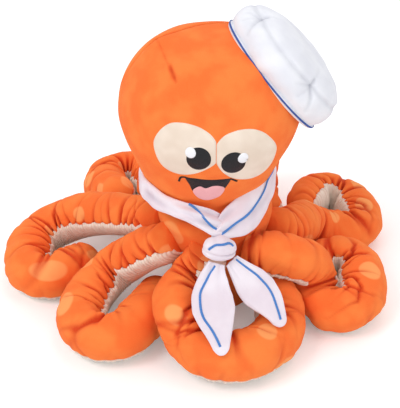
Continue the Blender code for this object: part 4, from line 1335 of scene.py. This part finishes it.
def pillow(centre, across, up, half, thick, columns=26, crown=0.0):
    """Closed sections of a soft flat strip: (rows, columns, 3)."""
    turn = np.linspace(0.0, 2.0 * math.pi, columns, endpoint=False)[None, :]
    wide = np.sign(np.cos(turn)) * np.abs(np.cos(turn)) ** 0.8
    tall = np.sign(np.sin(turn)) * np.abs(np.sin(turn)) ** 0.75
    rise = tall * 0.5 * thick[:, None] + crown * (1.0 - wide**2) * half[:, None]
    sideways = across[:, None, :] * (wide * half[:, None])[..., None]
    return centre[:, None, :] + sideways + up[:, None, :] * rise[..., None]


def scarf_line(side_name, count=190):
    """The middle of one half of the band, from the nape to the knot."""
    course = scarf_course[side_name]
    side = -1.0 if side_name == "left" else 1.0
    degrees = np.linspace(180.0, course[0, 0], count)
    columns = [softened(np.interp(degrees, course[:, 0], course[:, k]), 6) for k in range(1, 5)]
    radius, height, lean, wide = columns
    turn = np.radians(degrees) * side
    out = np.stack([np.sin(turn), -np.cos(turn), 0.0 * turn], axis=1)
    upright = np.array([[0.0, 0.0, 1.0]])
    height = height + scarf_tilt_share * np.sin(turn)
    centre = scarf_axis + (out * radius[:, None] + upright * height[:, None]) * arm_radius
    lean = np.radians(lean)[:, None]
    across = upright * np.cos(lean) + out * np.sin(lean)
    face = out * np.cos(lean) - upright * np.sin(lean)
    return centre, across, face, 0.5 * scarf_width * wide, degrees


# Where the stripe lies across the band, from its middle, by degrees from the front.
stripe_course = {
    "left": (
        (-13.0, -0.60), (-4.0, -0.40), (-0.5, -0.23), (2.0, -0.08), (7.0, 0.5), (13.6, 0.93), (16.0, 0.97),
    ),
    "right": (
        (6.0, -0.6), (12.5, -0.45), (21.0, -0.14), (29.0, -0.05), (35.0, -0.03), (47.0, 0.3),
        (60.0, 0.85), (84.0, 0.98),
    ),
}


def band_half(side_name):
    side = -1.0 if side_name == "left" else 1.0
    centre, across, face, half, degrees = scarf_line(side_name)
    rows = pillow(centre, across, face, half, np.full(len(half), scarf_thickness), 64, 0.10)
    sideways = ((rows - centre[:, None]) * across[:, None]).sum(-1) / half[:, None]
    near = smooth_step((34.0 - degrees) / 26.0)[:, None]
    folds = 1.7 * MILLIMETRE * near * np.sin(6.5 * sideways + 0.8 + 0.4 * side) * (1.0 - 0.3 * sideways**2)
    dent = smooth_step((70.0 - degrees) / 20.0) * (1.0 - smooth_step((40.0 - degrees) / 16.0))
    folds -= 2.2 * MILLIMETRE * dent[:, None] * np.exp(-(((sideways + 0.1) / 0.35) ** 2))
    folds += lumps(rows, 20.0 * MILLIMETRE, 51) * 0.7 * MILLIMETRE
    rows = rows + face[:, None, :] * folds[..., None]
    # Painted shade in the hollows of the band's folds.
    hollow = np.clip(-folds / (5.0 * MILLIMETRE) - 0.08, 0.0, 0.5)
    cloth = outwards(woven("scarf_band_" + side_name + "_cloth", rows, scarf_plush, hollow=hollow))
    surface = surface_of(rows)
    where, shares = zip(*stripe_course[side_name])
    shift = softened(np.interp(degrees, where, shares), 5) * half
    line = []
    for point, direction in zip(centre + across * shift[:, None], face):
        hit, _, _, _ = surface.ray_cast(Vector(point + direction * 0.03), Vector(-direction))
        line.append(np.array(hit) if hit is not None else point + direction * 0.5 * scarf_thickness)
    line = softened(np.array(line), 3) + face * 0.45 * MILLIMETRE
    forward = unit(np.gradient(line, axis=0))
    beside = unit(np.cross(forward, face))
    ends = degrees < where[-1]
    name = "scarf_stripe_" + side_name + "_stitches"
    stitches = stitched(name, line[ends], beside[ends], face[ends], blue_thread)
    return cloth, stitches


scarf_pieces = {}
for side_name in ("left", "right"):
    scarf_pieces["band_" + side_name], scarf_pieces["stripe_" + side_name] = band_half(side_name)

# %% [markdown]
# The knot is one short turn of the same cloth, pulled tight, so its folds run sideways.
# The two tails leave it below: each is a leaf-shaped double layer of cloth, a little
# padded, that lies on the front arm.

# %% Knot and tails


def knot_rows():
    """The knot: a roll at the bottom, gathers running into it from above."""
    turn = np.linspace(0.0, 2.0 * math.pi, 150, endpoint=False)[None, :]
    rise = np.linspace(-0.5 * math.pi + 0.06, 0.5 * math.pi - 0.06, 110)[:, None]
    x = np.cos(rise) * np.cos(turn)
    y = np.cos(rise) * np.sin(turn)
    z = np.sin(rise) + 0.0 * turn
    ball = np.stack([x, y, z], axis=-1)
    roll = 0.07 * np.exp(-(((z + 0.42 + 0.12 * x) / 0.22) ** 2))
    tuck = -0.13 * np.exp(-(((z + 0.10 + 0.16 * x) / 0.10) ** 2)) * (0.4 + 0.6 * smooth_step(0.5 + 0.6 * x))
    gathers = 0.05 * smooth_step((z - 0.1) / 0.5) * np.sin(7.0 * x + 0.5)
    ball = ball * (1.02 + roll + tuck + gathers)[..., None]
    # The second result is painted shade in the knot's tuck and gathers.
    return ball * knot_size + knot_place, np.clip(-3.0 * (tuck + gathers) - 0.05, 0.0, 0.5)


rows, hollow = knot_rows()
scarf_pieces["knot"] = outwards(woven("scarf_knot_cloth", rows, scarf_plush, hollow=hollow))
knot_surface = surface_of(rows)
knot_stripe_shares = (
    (-0.66, 0.33), (-0.59, 0.44), (-0.25, 0.70), (0.13, 0.79), (0.50, 0.74), (0.74, 0.57), (0.80, 0.46),
)
knot_wide, _, knot_tall = knot_size
knot_x, _, knot_z = knot_place
knot_points = [(x * knot_wide + knot_x, 0.0, z * knot_tall + knot_z) for x, z in knot_stripe_shares]
line, _ = curve_through(knot_points, 60)
line[:, 1] = [drop(knot_surface, x, z) for x, _, z in line]
face = unit((line - knot_place) / knot_size**2)
line = softened(line, 2) + face * 0.2 * MILLIMETRE
beside = unit(np.cross(unit(np.gradient(line, axis=0)), face))
scarf_pieces["knot_stripe"] = stitched("scarf_knot_stitches", line, beside, face, blue_thread)

tail_route_shares = {
    "left": (
        (0.02, -3.92, 4.28, 0.32), (-0.10, -4.24, 3.86, 0.60), (-0.16, -4.82, 3.36, 0.82),
        (-0.06, -5.58, 2.98, 0.86), (0.08, -6.28, 2.70, 0.68), (0.17, -6.80, 2.42, 0.44),
        (0.20, -7.06, 2.16, 0.24),
    ),
    "right": (
        (0.62, -3.80, 4.32, 0.30), (1.04, -3.98, 3.86, 0.50), (1.54, -4.26, 3.38, 0.72),
        (2.02, -4.62, 2.98, 0.80), (2.34, -4.98, 2.66, 0.66), (2.52, -5.24, 2.40, 0.42),
        (2.60, -5.40, 2.24, 0.24),
    ),
}
tail_across_shares = {"left": (1.0, -0.05, 0.0), "right": (0.90, 0.42, 0.12)}
# Where the stripe lies across a tail, from its middle, by share of the tail's length.
tail_stripe_course = {
    "left": ((0.0, 0.0), (0.12, -0.30), (0.30, -0.58), (0.60, -0.60), (0.85, -0.25), (1.0, 0.10)),
    "right": ((0.0, 0.50), (0.30, 0.52), (0.60, 0.46), (0.85, 0.20), (1.0, 0.0)),
}
tail_thickness = 5.0 * MILLIMETRE


def tail(side_name):
    shares = np.array(tail_route_shares[side_name])
    count = 150
    line, _ = curve_through(shares[:, :3] * arm_radius, count)
    knots = np.linspace(0.0, 1.0, len(shares))
    half = softened(np.interp(np.linspace(0.0, 1.0, count), knots, shares[:, 3]), 8) * arm_radius
    end = np.clip((np.linspace(0.0, 1.0, count) - 0.93) / 0.072, 0.0, 1.0)
    half = half * np.sqrt(1.0 - 0.97 * end**2)
    along = unit(np.gradient(line, axis=0))
    hint = unit(np.array(tail_across_shares[side_name]))
    across = unit(hint - along * (along @ hint)[:, None])
    face = np.cross(along, across)
    face = face * np.sign(face[:, 2:3])
    share = np.linspace(0.0, 1.0, count)
    fuller = np.minimum(1.0, 0.55 + 2.2 * share)
    thinner = np.sqrt(np.clip((1.02 - share) / 0.10, 0.05, 1.0))
    thick = tail_thickness * fuller * thinner
    rows = pillow(line, across, face, half, thick, 56)
    sideways = ((rows - line[:, None]) * across[:, None]).sum(-1) / half[:, None]
    ends = 1.0 - share[:, None]
    folds = 1.5 * MILLIMETRE * ends**2 * np.sin(7.0 * sideways + 1.0)
    folds -= 1.1 * MILLIMETRE * np.exp(-((sideways / 0.12) ** 2)) * ends
    folds += lumps(rows, 26.0 * MILLIMETRE, 61) * 0.5 * MILLIMETRE
    rows = rows + face[:, None, :] * folds[..., None]
    piece = outwards(woven("scarf_tail_" + side_name + "_cloth", rows, scarf_plush))
    surface = surface_of(rows)
    stripe = []
    where, shifts = zip(*tail_stripe_course[side_name])
    shift = softened(np.interp(share, where, shifts), 8)
    shown = slice(4, count - 12)
    for i in range(count)[shown]:
        point = line[i] + across[i] * half[i] * shift[i]
        hit, _, _, _ = surface.ray_cast(Vector(point + face[i] * 0.03), Vector(-face[i]))
        stripe.append(np.array(hit) if hit is not None else point + face[i] * 0.5 * thick[i])
    stripe = softened(np.array(stripe), 3) + face[shown] * 0.15 * MILLIMETRE
    forward = unit(np.gradient(stripe, axis=0))
    beside = unit(np.cross(forward, face[shown]))
    stitches = stitched("scarf_tail_" + side_name + "_stitches", stripe, beside, face[shown], blue_thread)
    flat_area = float((2.0 * half[:-1] * np.linalg.norm(np.diff(line, axis=0), axis=1)).sum())
    length = float(np.linalg.norm(np.diff(line, axis=0), axis=1).sum())
    return piece, stitches, (2.0 * float(half.max()), length), flat_area


for side_name in tail_route_shares:
    piece, stitches, flat, area = tail(side_name)
    scarf_pieces["tail_" + side_name] = piece
    scarf_pieces["tail_stripe_" + side_name] = stitches
    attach(piece, "tail_" + side_name)
    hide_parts("scarf_tail_" + side_name)
    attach(stitches, "tail_" + side_name)
    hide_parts("scarf_tail_" + side_name + "_stripe")
    print("tail", side_name, "cut", [round(v, 4) for v in flat], "area", round(area, 5))

# %% [markdown]
# The pieces sewn to the torso are tied to the frame's body and ride on it. The arms'
# skins and strips stand in for their solids, which are hidden.

# %% Tie the pieces to the frame
for name, arm in arms.items():
    root = arm.line[0]
    heading = arm.ahead[0]
    start = root - heading * root_overlap
    end = root + heading * 1.3 * arm_radius
    for piece, node, slot_name in (
        (skins[name], "arm_" + name, "orange_plush"),
        (undersides[name], "underside_" + name, "cream_ribbed"),
    ):
        "limb_" + name
        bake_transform(piece)
        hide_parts(node)

body_pieces = [
    (torso, ("torso",), "orange_plush", 0.85),
    (head_front, ("head_front", "head_filling"), "orange_plush", 0.95),
    (head_back, ("head_back",), "orange_plush", 0.95),
    (crown, ("hat_crown",), "white_plush", 0.7),
    (hat_band, ("hat_band",), "white_plush", 0.7),
    (hat_stripe, ("hat_stripe",), "blue_thread", None),
    (scarf_pieces["knot"], ("scarf_knot",), "white_plush", 0.6),
    (scarf_pieces["stripe_left"], ("scarf_band_stripe",), "blue_thread", None),
    (scarf_pieces["stripe_right"], ("scarf_band_stripe",), "blue_thread", None),
    (scarf_pieces["knot_stripe"], ("scarf_band_stripe",), "blue_thread", None),
]
body_pieces += [(piece, ("mouth",), "black_thread", None) for piece in mouth_strokes]
face_slots = {
    "eye": "cream_patch",
    "pupil": "black_thread",
    "glint": "white_thread",
    "mouth": "black_thread",
    "tongue": "pink_thread",
}
for node, piece in face_pieces.items():
    kind = node.split("_")[0]
    body_pieces.append((piece, (node,), face_slots[kind], 0.5 if kind == "eye" else None))
for piece, replaced, slot_name, fill in body_pieces:
    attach(piece, "body")
    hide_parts(*replaced)
for side_name in ("left", "right"):
    piece = scarf_pieces["band_" + side_name]
    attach(piece, "body")
    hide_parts("scarf_band")
    centre = scarf_line(side_name)[0]

# %% [markdown]
# The studio is plain: a white floor that keeps the soft shadow, a large lamp from the
# front left, three weaker ones from the right, above and behind, and an even sky. The
# camera looks down on the toy with a long lens.

# %% Floor, light and camera
TARGET = Vector((-0.014, 0.0, 0.100))
CAMERA_DISTANCE = 1.100
CAMERA_ELEVATION = math.radians(33.0)
CAMERA_LENS = 103.9
CAMERA_SENSOR = 36.0


def floor():
    mesh = bpy.data.meshes.new("floor")
    reach = 3.0
    corners = [(-reach, -reach, 0.0), (reach, -reach, 0.0), (reach, reach, 0.0), (-reach, reach, 0.0)]
    mesh.from_pydata(corners, [], [(0, 1, 2, 3)])
    made = bpy.data.objects.new("floor", mesh)
    bpy.context.scene.collection.objects.link(made)
    finish = Finish("floor", 1.0)
    finish.shader.inputs["Base Color"].default_value = tone(250, 250, 250)
    finish.shader.inputs["Specular IOR Level"].default_value = 0.0
    finish.shader.inputs["Emission Color"].default_value = (1.0, 1.0, 1.0, 1.0)
    seen = finish.node("LightPath", output="Is Camera Ray")
    feed(finish.tree, finish.shader.inputs["Emission Strength"], seen * 0.16)
    mesh.materials.append(finish.material)


def lamp(name, place, size, power):
    light = bpy.data.lights.new(name, "AREA")
    light.shape = "DISK"
    light.size = size
    light.energy = power
    made = bpy.data.objects.new(name, light)
    made.location = place
    made.rotation_euler = (TARGET - Vector(place)).to_track_quat("-Z", "Y").to_euler()
    bpy.context.scene.collection.objects.link(made)


floor()
lamp("key", (-1.2, -1.0, 1.9), 1.0, 16.0)
lamp("fill", (1.1, -1.5, 0.5), 1.2, 3.6)
lamp("top", (0.5, -0.3, 2.1), 1.2, 4.0)
lamp("rim", (0.2, 1.6, 1.2), 1.2, 3.5)
world = bpy.data.worlds.new("studio")
world.use_nodes = True
bpy.context.scene.world = world
tree = world.node_tree
back = tree.nodes["Background"]
back.inputs["Color"].default_value = (1.0, 1.0, 1.0, 1.0)
path = tree.nodes.new("ShaderNodeLightPath")
level = Wire(tree, path.outputs["Is Camera Ray"]) * 0.21 + 0.79
feed(tree, back.inputs["Strength"], level)

camera = bpy.data.cameras.new("camera")
camera.sensor_fit = "AUTO"
camera.sensor_width = CAMERA_SENSOR
camera.lens = CAMERA_LENS
viewer = bpy.data.objects.new("camera", camera)
outlook = Vector((0.0, -math.cos(CAMERA_ELEVATION), math.sin(CAMERA_ELEVATION)))
viewer.location = TARGET + CAMERA_DISTANCE * outlook
viewer.rotation_euler = (TARGET - viewer.location).to_track_quat("-Z", "Y").to_euler()
bpy.context.scene.collection.objects.link(viewer)
bpy.context.scene.camera = viewer
bpy.context.scene.view_settings.view_transform = "Standard"
